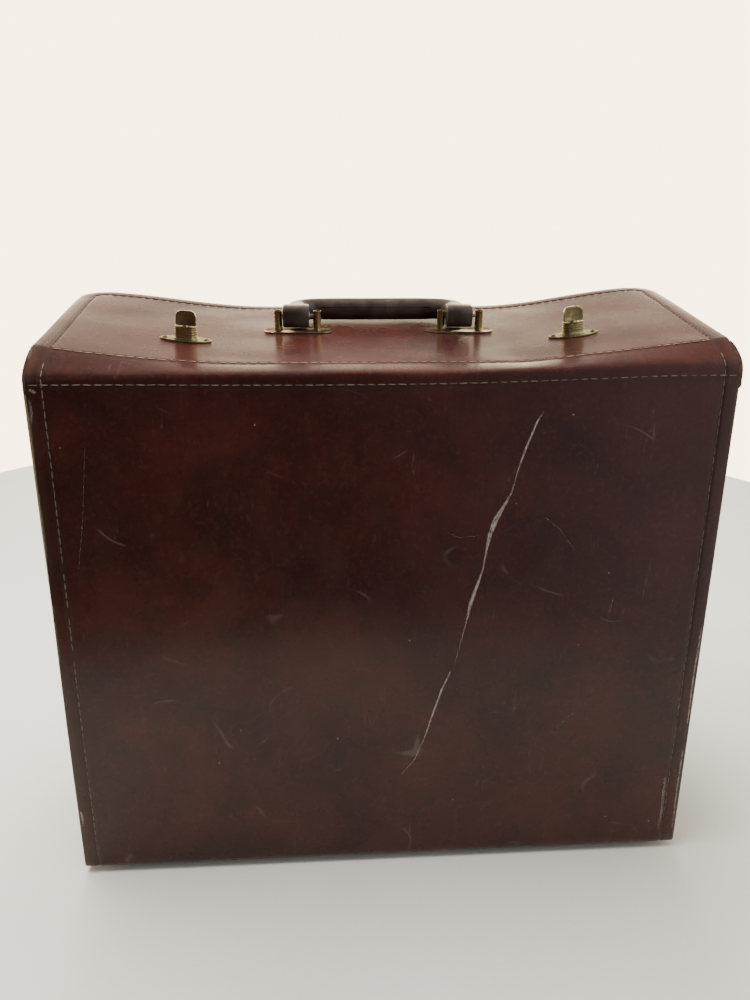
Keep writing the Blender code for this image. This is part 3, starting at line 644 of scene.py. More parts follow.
def bulge(x, z, amount):
    """How far a wall's middle swells out."""
    wide = 1 - (abs(x) / HALF_WIDTH) ** 3
    tall = math.sin(math.pi * min(1, max(0, (z - BOTTOM) / (NEAR_TOP - BOTTOM)))) ** 0.8
    return amount * wide * tall


def ripple(x, y, z, scale, amount):
    return amount * noise.noise(Vector((x * scale, y * scale, z * scale)))


def narrowed(half, corner, past):
    """How much narrower a flap is at a place that lies PAST the start of its rounded corners."""
    past = max(0.0, past)
    return (half - corner + math.sqrt(max(0.0, corner**2 - past**2))) / half


WALL_START = BOTTOM + FOLD
BEND_LENGTH = 0.034
NEAR_WALL_LENGTH = NEAR_TOP - WALL_START
FLAP_LENGTH = HALF_DEPTH - FLAP_START


def crease_height(x):
    """Height of the crease where the near skin folds over. It is higher towards the right."""
    return 0.4010 + 0.0052 * smooth(0.05, 0.20, x) + ripple(x, 9, 0, 17, 0.0008)


def bend_point(x, t, side, top, edge, below):
    """The bend from the top of a wall over to the edge of a flap, at T from 0 to 1."""
    wall = side * HALF_DEPTH
    corner = flap_top(x, wall) - below if side > 0 else crease_height(x)
    tip = flap_top(x, edge) - below
    pull = 2.4 if side > 0 else 9.0 - 4.0 * (abs(x) / HALF_WIDTH) ** 4
    first, second, third = (1 - t) ** 2, pull * t * (1 - t), t * t
    total = first + second + third
    y = ((first + second) * wall + third * edge) / total
    z = (first * top + second * corner + third * tip) / total
    return y, z


def near_seams(x, y, z):
    """Distance from a point on the near skin to its nearest seam."""
    side = abs(abs(x) - SEAM_X)
    wall_line = abs(z - near_line(x)) if y < FLAP_START - 0.012 else 1.0
    flap_line = abs(y - FLAP_START) if z > OVER_WALL else 1.0
    far_line = abs(y - (HALF_DEPTH - EDGE_SEAM)) if z > OVER_WALL else 1.0
    if far_line < 0.02 or side < 0.02:
        corner = corner_distance(x, y)
        if corner is not None and z > OVER_WALL:
            side = far_line = corner
    return min(side, wall_line, flap_line, far_line)


def corner_distance(x, y):
    """Distance to the seam's arc at the flap's two far corners, or None away from them."""
    dx = abs(x) - (HALF_WIDTH - CORNER)
    dy = y - (HALF_DEPTH - CORNER)
    if dx < 0 or dy < 0:
        return None
    return abs(math.hypot(dx, dy) - (CORNER - EDGE_SEAM))


def near_line(x):
    """Height of the sewn line along the top of the near wall."""
    return NEAR_TOP + 0.0006 + 0.0022 * (abs(x) / HALF_WIDTH) ** 2 + 0.0006 * (x / HALF_WIDTH)


def near_border(x, y, z):
    """Distance from the near skin's own edge."""
    side = SHEET_HALF - abs(x)
    if z < OVER_WALL:
        return max(0.0, side)
    end = HALF_DEPTH - y
    dx, dy = abs(x) - (HALF_WIDTH - CORNER), y - (HALF_DEPTH - CORNER)
    if dx > 0 and dy > 0:
        return max(0.0, CORNER - math.hypot(dx, dy))
    return max(0.0, min(side, end))


def spread(x, y, z):
    """The case leans in a little up its left edge, and the flap widens towards its far edge."""
    share = min(1.0, abs(x) / HALF_WIDTH) ** 2
    lean = -0.0022 * smooth(0.10, NEAR_TOP, z) if x < 0 else 0.0
    if z > OVER_WALL:
        lean += (0.0085 if x < 0 else 0.0076) * smooth(-0.10, 0.085, y)
    return lean * share * (-1 if x < 0 else 1)


def fold_point(x, s, side):
    """The fold from the bottom up to a wall."""
    turn = s / FOLD
    y = side * (HALF_DEPTH - FOLD * (1 - math.sin(turn)))
    return Vector((x, y, BOTTOM + FOLD * (1 - math.cos(turn))))


def near_point(x, s):
    """A point of the near skin. S runs from under the bottom up the wall and over to the far edge."""
    spot = near_course(x, s)
    spot.x += spread(spot.x, spot.y, spot.z)
    return spot


def near_course(x, s):
    if s < LAP:
        return Vector((x, -HALF_DEPTH + FOLD + LAP - s, BOTTOM))
    s -= LAP
    if s < FOLD_ARC:
        return fold_point(x, s, -1)
    s -= FOLD_ARC
    if s <= NEAR_WALL_LENGTH:
        z = WALL_START + s
        return Vector((x, -HALF_DEPTH - bulge(x, z, NEAR_BULGE), z))
    s -= NEAR_WALL_LENGTH
    if s <= BEND_LENGTH:
        t = s / BEND_LENGTH
        y, z = bend_point(x, t, -1, NEAR_TOP, FLAP_START, 0)
        sag = math.sin(math.pi * t) ** 2
        return Vector((x, y + ripple(x, 0, 0, 22, 0.0008) * sag, z))
    s -= BEND_LENGTH
    y = FLAP_START + min(s, FLAP_LENGTH)
    x *= narrowed(HALF_WIDTH, CORNER, y - (HALF_DEPTH - CORNER))
    fade = smooth(0, 0.02, near_border(x, y, 1)) * smooth(0, 0.02, s)
    return Vector((x, y, flap_top(x, y) + ripple(x, y, 0, 20, 0.0005) * fade))


def far_border(x, y, z):
    """Distance from the edge of the skin that covers the bottom, far wall and inner flap."""
    if z < FAR_TOP + 0.001 and y > INNER_END - 0.02 or z < NEAR_TOP - 0.02:
        return max(0.0, SHEET_HALF - abs(x))
    return max(0.0, min(INNER_HALF - abs(x), y - INNER_START))


def far_seams(x, y, z):
    side = abs(abs(x) - SEAM_X)
    if z > FAR_TOP + 0.001 or (z > NEAR_TOP and y < INNER_END):
        side = abs(abs(x) - (INNER_HALF - INNER_SEAM))
        return min(side, abs(y - (INNER_START + INNER_SEAM)), abs(y - INNER_END))
    return min(side, abs(z - (FAR_TOP - FAR_SEAM)) if y > 0 else 1.0)


FAR_WALL_LENGTH = FAR_TOP - WALL_START
BOTTOM_LENGTH = 2 * (HALF_DEPTH - FOLD) - LAP + 0.006
INNER_LENGTH = INNER_END - INNER_START


def far_point(x, s):
    """A point of the far skin. S runs along the bottom, up the far wall and over the inner flap."""
    if s < BOTTOM_LENGTH:
        return Vector((x, HALF_DEPTH - FOLD - BOTTOM_LENGTH + s, BOTTOM + 0.0002))
    s -= BOTTOM_LENGTH
    if s < FOLD_ARC:
        return fold_point(x, s, 1)
    s -= FOLD_ARC
    if s <= FAR_WALL_LENGTH:
        z = WALL_START + s
        return Vector((x, HALF_DEPTH + bulge(x, z, FAR_BULGE), z))
    s -= FAR_WALL_LENGTH
    share = smooth(0, BEND_LENGTH, s)
    x *= 1 + (INNER_HALF / HALF_WIDTH - 1) * share
    if s <= BEND_LENGTH:
        y, z = bend_point(x, s / BEND_LENGTH, 1, FAR_TOP, INNER_END, INNER_AT)
        return Vector((x, y, z))
    s -= BEND_LENGTH
    y = INNER_END - min(s, INNER_LENGTH)
    x *= narrowed(INNER_HALF, INNER_CORNER, INNER_START + INNER_CORNER - y)
    return Vector((x, y, flap_top(x, y) - INNER_AT))


def side_edges(bm, also=None):
    """The border edges at a sheet's two sides, and those at its free end."""
    found = []
    for edge in bm.edges:
        if len(edge.link_faces) != 1:
            continue
        middle = (edge.verts[0].co + edge.verts[1].co) / 2
        line = (edge.verts[1].co - edge.verts[0].co).normalized()
        if abs(line.x) < 0.5 or (also and also(middle)):
            found.append(edge)
    return found


def pull_seams(bm, distance, unspread):
    """Pulls the sheet in along its seams."""
    bm.normal_update()
    for vert in bm.verts:
        near = distance(*unspread(vert.co)) / GROOVE_WIDTH
        vert.co -= vert.normal * GROOVE_DEPTH * math.exp(-(near**2))


def unspread_near(co):
    return co.x - spread(co.x, co.y, co.z), co.y, co.z


def near_edge_depth(co):
    """Thickness of what the near skin's border goes round: wall, bend, then flap."""
    if co.z <= NEAR_TOP:
        return WALL_EDGE - (WALL_EDGE - STRIP_EDGE) * smooth(NEAR_TOP - 0.006, NEAR_TOP, co.z)
    return STRIP_EDGE + (FLAP_EDGE - STRIP_EDGE) * smooth(-0.088, FLAP_START + 0.004, co.y)


def far_edge_depth(co):
    if co.z <= FAR_TOP and (co.y > 0.09 or co.z < NEAR_TOP - 0.02):
        return WALL_EDGE - (WALL_EDGE - STRIP_EDGE) * smooth(FAR_TOP - 0.006, FAR_TOP, co.z)
    return STRIP_EDGE + (INNER_EDGE - STRIP_EDGE) * smooth(0.088, INNER_END - 0.004, co.y)


def cut_slots(bm):
    """Cuts the cross bars' slots out of the inner flap's sheet, and rounds the cut edges."""
    for side in (-1, 1):
        matrix = face_frame(side * LOCK[0], LOCK[1])
        to_plate = matrix.inverted()

        def measured(co):
            local = to_plate @ co
            core = max(-SLOT[0], min(SLOT[0], local.x))
            return local, core, math.hypot(local.x - core, local.y)

        middles = [(face, face.calc_center_median()) for face in bm.faces]
        middles = [(face, middle) for face, middle in middles if (middle - matrix.translation).length < 0.03]
        gone = [face for face, middle in middles if measured(middle)[2] < SLOT[1]]
        bmesh.ops.delete(bm, geom=gone, context="FACES")
        for vert in bm.verts:
            if vert.is_boundary and (vert.co - matrix.translation).length < 0.025:
                local, core, distance = measured(vert.co)
                share = SLOT[1] / distance
                vert.co = matrix @ Vector((core + (local.x - core) * share, local.y * share, local.z))


def make_skin(name, point, parts, depth, seams, border, unspread, free_end, slots=False):
    """One sheet of leatherette. PARTS gives each part's length, its rows' step and where its seams run."""
    fine = [-SEAM_X, SEAM_X] + (SLOT_COLUMNS if slots else [])
    across = spaced(-SHEET_HALF, SHEET_HALF, 0.0040, fine)
    along, start = [], 0.0
    for length, step, lines in parts:
        rows = spaced(start, start + length, step, [start + line for line in lines])
        along += rows[1:] if along else rows
        start += length
    bm = mapped_sheet(across, along, point)
    face_way(bm, min(bm.faces, key=lambda face: face.calc_center_median().z), DOWN)
    pull_seams(bm, seams, unspread)
    roll_edges(bm, side_edges(bm, free_end), depth)
    if slots:
        cut_slots(bm)
    mark_sheet(
        bm,
        lambda co: border(*unspread(co)),
        lambda co: math.exp(-((seams(*unspread(co)) / 0.0018) ** 2)),
    )
    return thicken(piece(name, bm, LEATHER, 60.0), SKIN)


def make_near_skin():
    parts = [
        (LAP + FOLD_ARC, 0.0020, []),
        (NEAR_WALL_LENGTH, 0.0042, [NEAR_WALL_LENGTH - 0.001]),
        (BEND_LENGTH, 0.0014, []),
        (FLAP_LENGTH, 0.0034, [0.0, FLAP_LENGTH - EDGE_SEAM]),
    ]
    rules = (near_edge_depth, near_seams, near_border, unspread_near, lambda co: co.y > HALF_DEPTH - 0.004)
    skin = make_skin("near_skin", near_point, parts, *rules)
    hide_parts("near_hinge_strip", "outer_flap_cover")
    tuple(NEAR_BLEND[0])
    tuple(NEAR_BLEND[1])
    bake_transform(skin)


def at_inner_end(co):
    return co.y < INNER_START + 0.004 and co.z > 0.3


def make_far_skin():
    parts = [
        (BOTTOM_LENGTH + FOLD_ARC, 0.0050, []),
        (FAR_WALL_LENGTH, 0.0050, [FAR_WALL_LENGTH - FAR_SEAM]),
        (BEND_LENGTH, 0.0020, []),
        (INNER_LENGTH, 0.0042, [INNER_LENGTH - INNER_SEAM] + [INNER_END - y for y in SLOT_ROWS]),
    ]
    rules = (far_edge_depth, far_seams, far_border, tuple)
    skin = make_skin("far_skin", far_point, parts, *rules, at_inner_end, slots=True)
    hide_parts("wrap_skin", "far_hinge_strip", "inner_flap_cover")
    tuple(FAR_BLEND[0])
    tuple(FAR_BLEND[1])
    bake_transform(skin)


# ---------------------------------------------------------------- stitches


CASE_MIDDLE = Vector((0, 0, 0.25))


def stitch_row(bm, points, skip=0.0):
    """Stitches along a line of (place, surface normal) pairs."""
    length = [0.0]
    for (first, _), (second, _) in zip(points, points[1:]):
        length.append(length[-1] + (second - first).length)
    count = max(1, int(length[-1] / PITCH))
    gap = length[-1] / count
    index = 0
    for number in range(count):
        target = gap * (number + 0.5)
        while length[index + 1] < target:
            index += 1
        share = (target - length[index]) / max(1e-9, length[index + 1] - length[index])
        place = points[index][0].lerp(points[index + 1][0], share)
        normal = points[index][1].lerp(points[index + 1][1], share).normalized()
        along = (points[index + 1][0] - points[index][0]).normalized()
        if random.random() < skip:
            continue
        side = normal.cross(along).normalized()
        along = (along + side * random.uniform(-0.06, 0.06)).normalized()
        side = normal.cross(along).normalized()
        half, wide, high = STITCH
        half *= random.uniform(0.92, 1.04)
        turn = Matrix((along * half, side * wide, normal * high)).transposed().to_4x4()
        turn.translation = place + normal * (0.0001 + random.uniform(-0.00006, 0.00006))
        made = bmesh.ops.create_uvsphere(bm, u_segments=6, v_segments=7, radius=1)["verts"]
        axis_on_x = Matrix.Rotation(math.pi / 2, 4, "Y")
        bmesh.ops.transform(bm, matrix=turn @ axis_on_x, verts=made)


def span(start, end, count):
    return [start + (end - start) * i / count for i in range(count + 1)]


def settle(line, depth):
    """Moves a line down into its seam's groove."""
    return [(co - up * depth, up) for co, up in line]


def sew(bm, point, pairs, depth=0.00030, skip=0.0):
    """Stitches along a line given as sheet coordinates, with their tops away from the case's middle."""
    step = 0.0004
    line = []
    for x, s in pairs:
        place = point(x, s)
        across = point(x + step, s) - point(x - step, s)
        along = point(x, s + step) - point(x, s - step)
        normal = across.cross(along).normalized()
        line.append((place, normal if normal.dot(place - CASE_MIDDLE) > 0 else -normal))
    stitch_row(bm, settle(line, depth), skip=skip)


def make_near_stitches():
    bend_start = LAP + FOLD_ARC + NEAR_WALL_LENGTH
    flap_start = bend_start + BEND_LENGTH
    pale, worn, beige, dark = (bmesh.new() for _ in range(4))
    xs = span(-HALF_WIDTH + 0.0015, HALF_WIDTH - 0.0015, 120)
    sew(pale, near_point, [(x, bend_start + near_line(x) - NEAR_TOP) for x in xs])
    sew(beige, near_point, [(x, flap_start) for x in span(-SEAM_X + 0.002, SEAM_X - 0.002, 120)], 0.0001)
    for side in (-1, 1):
        up_wall = [(side * SEAM_X, s) for s in span(LAP + FOLD_ARC, flap_start - 0.006, 160)]
        sew(worn, near_point, up_wall, skip=0.04)
    line = []
    for x, y in perimeter(FLAP_START + 0.002):
        co = Vector((x, y, flap_top(x, y)))
        co.x += spread(*co)
        line.append((co, face_normal(x, y)))
    stitch_row(dark, settle(line, 0.0001))
    for name, bm, material in (
        ("near_line_stitches", pale, PALE_THREAD),
        ("near_side_stitches", worn, WORN_THREAD),
        ("flap_line_stitches", beige, BEIGE_THREAD),
        ("flap_edge_stitches", dark, DARK_THREAD),
    ):
        stitches = piece(name, bm, material, 80.0)
        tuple(NEAR_BLEND[0])
        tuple(NEAR_BLEND[1])
        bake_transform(stitches)


def face_normal(x, y):
    return face_frame(x, y).to_3x3().col[2]


def perimeter(start):
    """The seam round the outer flap: up one side, round two corners and down the other side."""
    radius = CORNER - EDGE_SEAM
    centre_x, centre_y = HALF_WIDTH - CORNER, HALF_DEPTH - CORNER
    left = [(-SEAM_X, y) for y in span(start, centre_y, 40)]
    turns = span(0, math.pi / 2, 12)
    first = [(-centre_x - radius * math.cos(t), centre_y + radius * math.sin(t)) for t in turns]
    far = [(x, HALF_DEPTH - EDGE_SEAM) for x in span(-centre_x, centre_x, 120)]
    second = [(-x, y) for x, y in reversed(first)]
    right = [(-x, y) for x, y in reversed(left)]
    return left + first[1:] + far[1:-1] + second[:-1] + right


def make_far_stitches():
    bm = bmesh.new()
    wall_start = BOTTOM_LENGTH + FOLD_ARC
    bend_start = wall_start + FAR_WALL_LENGTH
    for side in (-1, 1):
        sew(bm, far_point, [(side * SEAM_X, s) for s in span(wall_start, bend_start - 0.010, 140)])
    sew(bm, far_point, [(x, bend_start - FAR_SEAM) for x in span(-SEAM_X, SEAM_X, 80)])
    sew(bm, far_point, [(x, bend_start + BEND_LENGTH) for x in span(-0.22, 0.22, 100)])
    corner = 0.004
    x, start = INNER_HALF - INNER_SEAM, INNER_START + INNER_SEAM
    rim = [(-x, y) for y in span(INNER_END - corner, start + corner, 30)]
    rim += [(u, start) for u in span(-x + corner, x - corner, 90)]
    rim += [(x, y) for y in span(start + corner, INNER_END - corner, 30)]
    line = [(Vector((u, v, flap_top(u, v) - INNER_AT)), face_normal(u, v)) for u, v in rim]
    stitch_row(bm, settle(line, 0.00030))
    stitches = piece("far_stitches", bm, PALE_THREAD, 80.0)
    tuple(FAR_BLEND[0])
    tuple(FAR_BLEND[1])
    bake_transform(stitches)


make_near_skin()
make_far_skin()
make_near_stitches()
make_far_stitches()


# ---------------------------------------------------------------- ends and linings


END_INSET = 0.0012


def end_panel(side, word):
    """The recessed end: a padded leatherette panel whose turned edges are sewn into the rim."""
    low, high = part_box(f"{word}_end_skin")
    bm = bmesh.new()
    bmesh.ops.create_grid(bm, x_segments=60, y_segments=96, size=1)
    y_low, y_high = low.y + END_INSET, high.y - END_INSET
    z_low = low.z + END_INSET
    for vert in bm.verts:
        u, v = (vert.co.x + 1) / 2, (vert.co.y + 1) / 2
        y = y_low + (y_high - y_low) * u
        top = end_top(side, y)
        z = z_low + (top - z_low) * v
        swell = 0.0016 * (4 * u * (1 - u)) ** 0.5 * (4 * v * (1 - v)) ** 0.5
        swell += ripple(y, z, side, 14, 0.0004)
        edge = min(y - y_low, y_high - y, z - z_low)
        swell += 0.0022 * (1 - smooth(0, 0.006, edge))
        vert.co = Vector((side * (END_FACE + swell), y, z))
    bm.faces.ensure_lookup_table()
    face_way(bm, bm.faces[0], Vector((side, 0, 0)))
    border = [e for e in bm.edges if len(e.link_faces) == 1]
    border = [e for e in border if not is_end_top(side, e)]
    geom = bmesh.ops.extrude_edge_only(bm, edges=border)["geom"]
    for vert in [item for item in geom if isinstance(item, bmesh.types.BMVert)]:
        vert.co.x = side * (HALF_WIDTH - 0.001)
        vert.co.y += math.copysign(END_INSET, vert.co.y) if abs(vert.co.y) > y_high - 0.001 else 0
        if vert.co.z < z_low + 0.001:
            vert.co.z -= END_INSET
    mark_sheet(bm, lambda co: 0.012 + HALF_WIDTH - abs(co.x), lambda co: 0.0)
    panel = thicken(piece(f"{word}_end_panel", bm, LEATHER, 50.0), 0.0009)
    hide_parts(f"{word}_end_skin")
    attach(panel, "case_body")


def is_end_top(side, edge):
    return all(abs(vert.co.z - end_top(side, vert.co.y)) < 1e-4 for vert in edge.verts)


def end_top(side, y):
    """Height of an end panel's top edge, which follows the inner flap above it."""
    low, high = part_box("right_end_skin")
    below = 0.0125
    cut = 0.015
    near, far = low.y + cut, high.y - cut
    inside = side * (END_FACE - 0.005)
    slope_near = flap_top(inside, near) - below
    slope_far = flap_top(inside, far) - below
    if y < near:
        return NEAR_TOP + (slope_near - NEAR_TOP) * (y - low.y) / cut
    if y > far:
        return slope_far + (FAR_TOP - slope_far) * (y - far) / cut
    return slope_near + (slope_far - slope_near) * (y - near) / (far - near)


def rim_stitches(side, word):
    """The other face of the edge seams, seen inside each recessed end."""
    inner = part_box(f"{word}_end_skin")[1].y - END_INSET
    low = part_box(f"{word}_end_skin")[0].z + END_INSET
    x = side * (HALF_WIDTH - EDGE_SEAM + 0.0045)
    bm = bmesh.new()
    for sign in (-1, 1):
        up = Vector((0, -sign, 0))
        line = [(Vector((x, sign * inner, z)), up) for z in span(low + 0.006, NEAR_TOP - 0.01, 60)]
        stitch_row(bm, line)
    up = Vector((0, 0, 1))
    line = [(Vector((x, y, low)), up) for y in span(-inner + 0.006, inner - 0.006, 40)]
    stitch_row(bm, line)
    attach(piece(f"{word}_rim_stitches", bm, PALE_THREAD, 80.0), "case_body")


def lining_sheet(name, half, start, end, below, corner_at, corner, body, node, slots=False):
    """The cloth under a flap, with its holes left clear."""
    across = spaced(-half, half, 0.0048, SLOT_COLUMNS if slots else ())
    along = spaced(start, end, 0.0040, SLOT_ROWS if slots else ())

    def point(x, y):
        x *= narrowed(half, corner, corner - abs(y - corner_at))
        fade = smooth(0, 0.02, min(half - abs(x), y - start, end - y))
        return Vector((x, y, flap_top(x, y) - below + ripple(x, y, 5, 26, 0.0003) * fade))

    bm = mapped_sheet(across, along, point)
    bm.faces.ensure_lookup_table()
    face_way(bm, bm.faces[0], DOWN)
    if slots:
        cut_slots(bm)
    sheet = thicken(piece(name, bm, CLOTH, 60.0), 0.0007)
    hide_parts(node)
    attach(sheet, body)


for hand, label in ((-1, "left"), (1, "right")):
    end_panel(hand, label)
    rim_stitches(hand, label)

MARGIN = 0.0015  # from a flap's edge to its cloth
outer = (HALF_WIDTH - MARGIN, FLAP_START + 0.001, HALF_DEPTH - MARGIN, 0.0046, HALF_DEPTH - MARGIN, CORNER)
inner = (INNER_HALF - MARGIN, INNER_START + MARGIN, INNER_END - 0.001, 0.0122, INNER_START + MARGIN)
lining_sheet("outer_flap_cloth", *outer, "outer_flap", "outer_flap_lining")
lining_sheet("inner_flap_cloth", *inner, INNER_CORNER, "inner_flap", "inner_flap_lining", slots=True)


# ---------------------------------------------------------------- hardware


def hardware(name, bm, material, slot, body, *nodes, angle=35.0):
    obj = piece(name, bm, material, angle, recalc=True)
    if nodes:
        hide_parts(*nodes)
    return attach(obj, body)


def shifted(matrix, x=0.0, y=0.0, z=0.0):
    return matrix @ Matrix.Translation((x, y, z))


def rounded_plate(bm, a, b, bottom, top, matrix, straight=False, segments=72, dish=0.0):
    """A stamped plate: its rim is rolled down and its middle is a little raised or dished."""
    lip = min(0.0005, (top - bottom) * 0.45)
    rings = [
        (bottom, a * 0.90, b * 0.90 if not straight else b - a * 0.10),
        (bottom, a - lip, b - lip),
        (bottom + lip * 0.4, a - lip * 0.15, b - lip * 0.15),
        (bottom + lip, a, b),
        (top - lip * 0.5, a - lip * 0.1, b - lip * 0.1),
        (top, a - lip * 0.8, b - lip * 0.8),
        (top, a - lip * 2.2, b - lip * 2.2),
        (top - dish, a - lip * 3.6, b - lip * 3.6),
    ]
    rings = [ring for ring in rings if ring[2] > 0.0005]
    lofted(bm, rings, segments, matrix, straight)


def eyelet(bm, matrix, radius, bottom):
    """A tubular rivet: a rolled rim round a dark hole."""
    profile = [(0, 0.98), (0.0003, 1), (0.0006, 0.88), (0.0007, 0.68), (0.0005, 0.50), (-0.0016, 0.44)]
    turned(bm, [(bottom + height, radius * share) for height, share in profile], 20, matrix)


def make_catch(side, word):
    """Turn catch: domed oval plate, ribbed collar, tab, spindle and cross bar."""
    body = "outer_flap"
    matrix = face_frame(side * LOCK[0], LOCK[1])
    plate_top = 0.0015
    bm = bmesh.new()
    rounded_plate(bm, *LOCK_PLATE, 0.0002, plate_top, matrix, segments=80)
    hardware(f"{word}_catch_plate", bm, BRIGHT_BRASS, "brass", body, f"{word}_lock_base")
    bm = bmesh.new()
    collar = [(plate_top - 0.0004, 0.0096, 0.0058), (plate_top + 0.0002, 0.0092, 0.0053)]
    collar += [(plate_top + 0.0007, 0.0083, 0.0045)]
    for level in range(4):
        low = plate_top + 0.0012 + level * 0.0018
        collar += [(low, 0.00815, 0.00428), (low + 0.0012, 0.00815, 0.00428)]
        collar += [(low + 0.0015, 0.00797, 0.00410)]
    top = COLLAR_TOP
    collar += [(top - 0.0006, 0.0085, 0.0046), (top - 0.0001, 0.0085, 0.0046)]
    collar += [(top, 0.0081, 0.0042), (top, 0.0040, 0.0034), (top - 0.0007, 0.0036, 0.0031)]
    lofted(bm, collar, 56, matrix, straight=True)
    hardware(f"{word}_catch_collar", bm, BRASS, "brass", body, angle=28.0)
    bm = bmesh.new()
    for x in (-LOCK_RIVET, LOCK_RIVET):
        eyelet(bm, shifted(matrix, x), 0.0021, plate_top - 0.0002)
    nodes = (f"{word}_lock_rivet_1", f"{word}_lock_rivet_2")
    hardware(f"{word}_catch_rivets", bm, BRASS, "brass", body, *nodes)
    make_tab(word, matrix, top)
    make_under_catch(word, matrix)


def make_tab(word, matrix, collar_top):
    bm = bmesh.new()
    low = collar_top + 0.0007
    size = Vector(TAB)
    middle = Matrix.Translation((0, 0, low + size.z / 2))
    made = bmesh.ops.create_cube(bm, size=1, matrix=middle @ Matrix.Diagonal((*size, 1)))["verts"]
    high_corners = [
        edge
        for edge in bm.edges
        if all(vert.co.z > low + size.z * 0.5 for vert in edge.verts)
        and abs(edge.verts[0].co.x - edge.verts[1].co.x) < 1e-6
    ]
    bevel = {"profile": 0.5, "affect": "EDGES", "material": -1}
    bmesh.ops.bevel(bm, geom=high_corners, offset=0.0043, segments=8, **bevel)
    faces = sorted(bm.faces, key=lambda face: face.normal.y)
    for face in (faces[0], faces[-1]):
        bmesh.ops.inset_region(bm, faces=[face], thickness=0.0012, depth=-0.00025)
    rims = [edge for edge in bm.edges if edge.calc_face_angle(0) > 1.0]
    bmesh.ops.bevel(bm, geom=rims, offset=0.00035, segments=2, **bevel)
    bmesh.ops.transform(bm, matrix=matrix, verts=bm.verts[:])
    spindle = [(-0.0150, 0.0009, 0.0009), (-0.0139, 0.0010, 0.0010), (-0.0138, 0.0023, 0.0023)]
    spindle += [(collar_top - 0.0002, 0.0023, 0.0023), (collar_top + 0.0012, 0.0023, 0.0014)]
    lofted(bm, spindle, 24, matrix)
    name = f"{word}_turn_button"
    hardware(f"{word}_turn_tab", bm, BRASS, "brass", name, name, angle=28.0)
    bm = bmesh.new()
    rounded_plate(bm, 0.0075, 0.0020, -0.0170, -0.0142, matrix, straight=True, segments=32)
    hardware(f"{word}_cross_bar", bm, STEEL, "steel", name, f"{word}_catch_bar")


RIVET_TAIL = ((0.0016, 0.0013), (0.0014, 0.0019), (0.0008, 0.0021))  # depth and radius


def make_under_catch(word, matrix):
    """Backing plate under the outer flap, with the tails of the catch's rivets. The slotted keeper under the
    inner flap is made by make_keepers.
    """
    bm = bmesh.new()
    top = -0.0050
    rounded_plate(bm, 0.0188, 0.0073, top - 0.0009, top, matrix, straight=True, segments=64)
    for x in (-LOCK_RIVET, LOCK_RIVET):
        turned(bm, [(top - z, r) for z, r in RIVET_TAIL], 18, shifted(matrix, x))
    hardware(f"{word}_catch_backing", bm, STEEL, "steel", "outer_flap", f"{word}_lock_backing")


def make_keepers(word, matrix):
    bm = bmesh.new()
    outer, inner = (0.0200, 0.0090), (0.0090, 0.0050)
    top, low = KEEPER_TOP, KEEPER_LOW
    rings = [(top, *outer), (low + 0.0003, *outer), (low, outer[0] - 0.0004, outer[1] - 0.0004)]
    rings += [(low, inner[0] + 0.0003, inner[1] + 0.0003), (low + 0.0003, *inner), (top, *inner)]
    lofted(bm, rings, 64, matrix, straight=True, hollow=True)
    hardware(f"{word}_keeper", bm, STEEL, "steel", "inner_flap", f"{word}_keeper_plate")
    bm = bmesh.new()
    head = ((0.0001, 0.0012), (0.0003, 0.0020), (0.0006, 0.0017), (0.0007, 0.0010))
    for x in (-KEEPER_RIVET, KEEPER_RIVET):
        place = shifted(matrix, x)
        turned(bm, [(low - z, r) for z, r in head], 18, place)
        turned(bm, [(z - INNER_AT, r) for z, r in head], 18, place)
    nodes = (f"{word}_keeper_rivet_1", f"{word}_keeper_rivet_2")
    hardware(f"{word}_keeper_rivets", bm, BRASS, "brass", "inner_flap", *nodes)


def make_bracket(side, word):
    """Handle bracket: oval plate with a raised rim, two tubular posts and the pin between them."""
    matrix = face_frame(side * BRACKET[0], BRACKET[1])
    bm = bmesh.new()
    rounded_plate(bm, *BRACKET_PLATE, 0.0002, 0.0014, matrix, straight=True, segments=80, dish=0.0004)
    hardware(f"{word}_handle_plate", bm, ROSE_BRASS, "brass", "outer_flap", f"{word}_bracket_plate")
    height = 0.0165
    for index, x in enumerate((-POST, POST), 1):
        bm = bmesh.new()
        rings = [(-0.0060, 0.0020), (0.0015, 0.0020), (0.0015, 0.0035), (0.0019, 0.0036)]
        rings += [(0.0024, 0.0031), (0.0070, 0.0030), (height - 0.0016, 0.0030)]
        rings += [(height - 0.0007, 0.0032), (height - 0.0002, 0.0033), (height, 0.0031)]
        rings += [(height - 0.0002, 0.0026), (height - 0.0012, 0.0023), (height - 0.0050, 0.0022)]
        turned(bm, rings, 36, shifted(matrix, x))
        node = f"{word}_bracket_post_{index}"
        hardware(f"{word}_handle_post_{index}", bm, BRASS, "brass", "outer_flap", node)
    bm = bmesh.new()
    on_x = shifted(matrix, z=PIN_HEIGHT) @ Matrix.Rotation(math.pi / 2, 4, "Y")
    rings = [(-0.0180, 0.0010), (-0.0178, 0.0014), (-0.0120, 0.0014)]
    turned(bm, rings + [(-z, r) for z, r in reversed(rings)], 24, on_x)
    hardware(f"{word}_handle_pin", bm, STEEL, "steel", "outer_flap", f"{word}_bracket_pin")
    bm = bmesh.new()
    rounded_plate(bm, 0.0260, 0.0068, -0.0059, -0.0050, matrix, straight=True, segments=64)
    tail = ((-0.0064, 0.0016), (-0.0062, 0.0027), (-0.0058, 0.0029))
    for x in (-POST, POST):
        turned(bm, tail, 24, shifted(matrix, x))
    hardware(f"{word}_handle_backing", bm, STEEL, "steel", "outer_flap", f"{word}_bracket_backing")


for hand, label in ((-1, "left"), (1, "right")):
    make_catch(hand, label)
    make_keepers(label, face_frame(hand * LOCK[0], LOCK[1]))
    make_bracket(hand, label)


# ---------------------------------------------------------------- handle

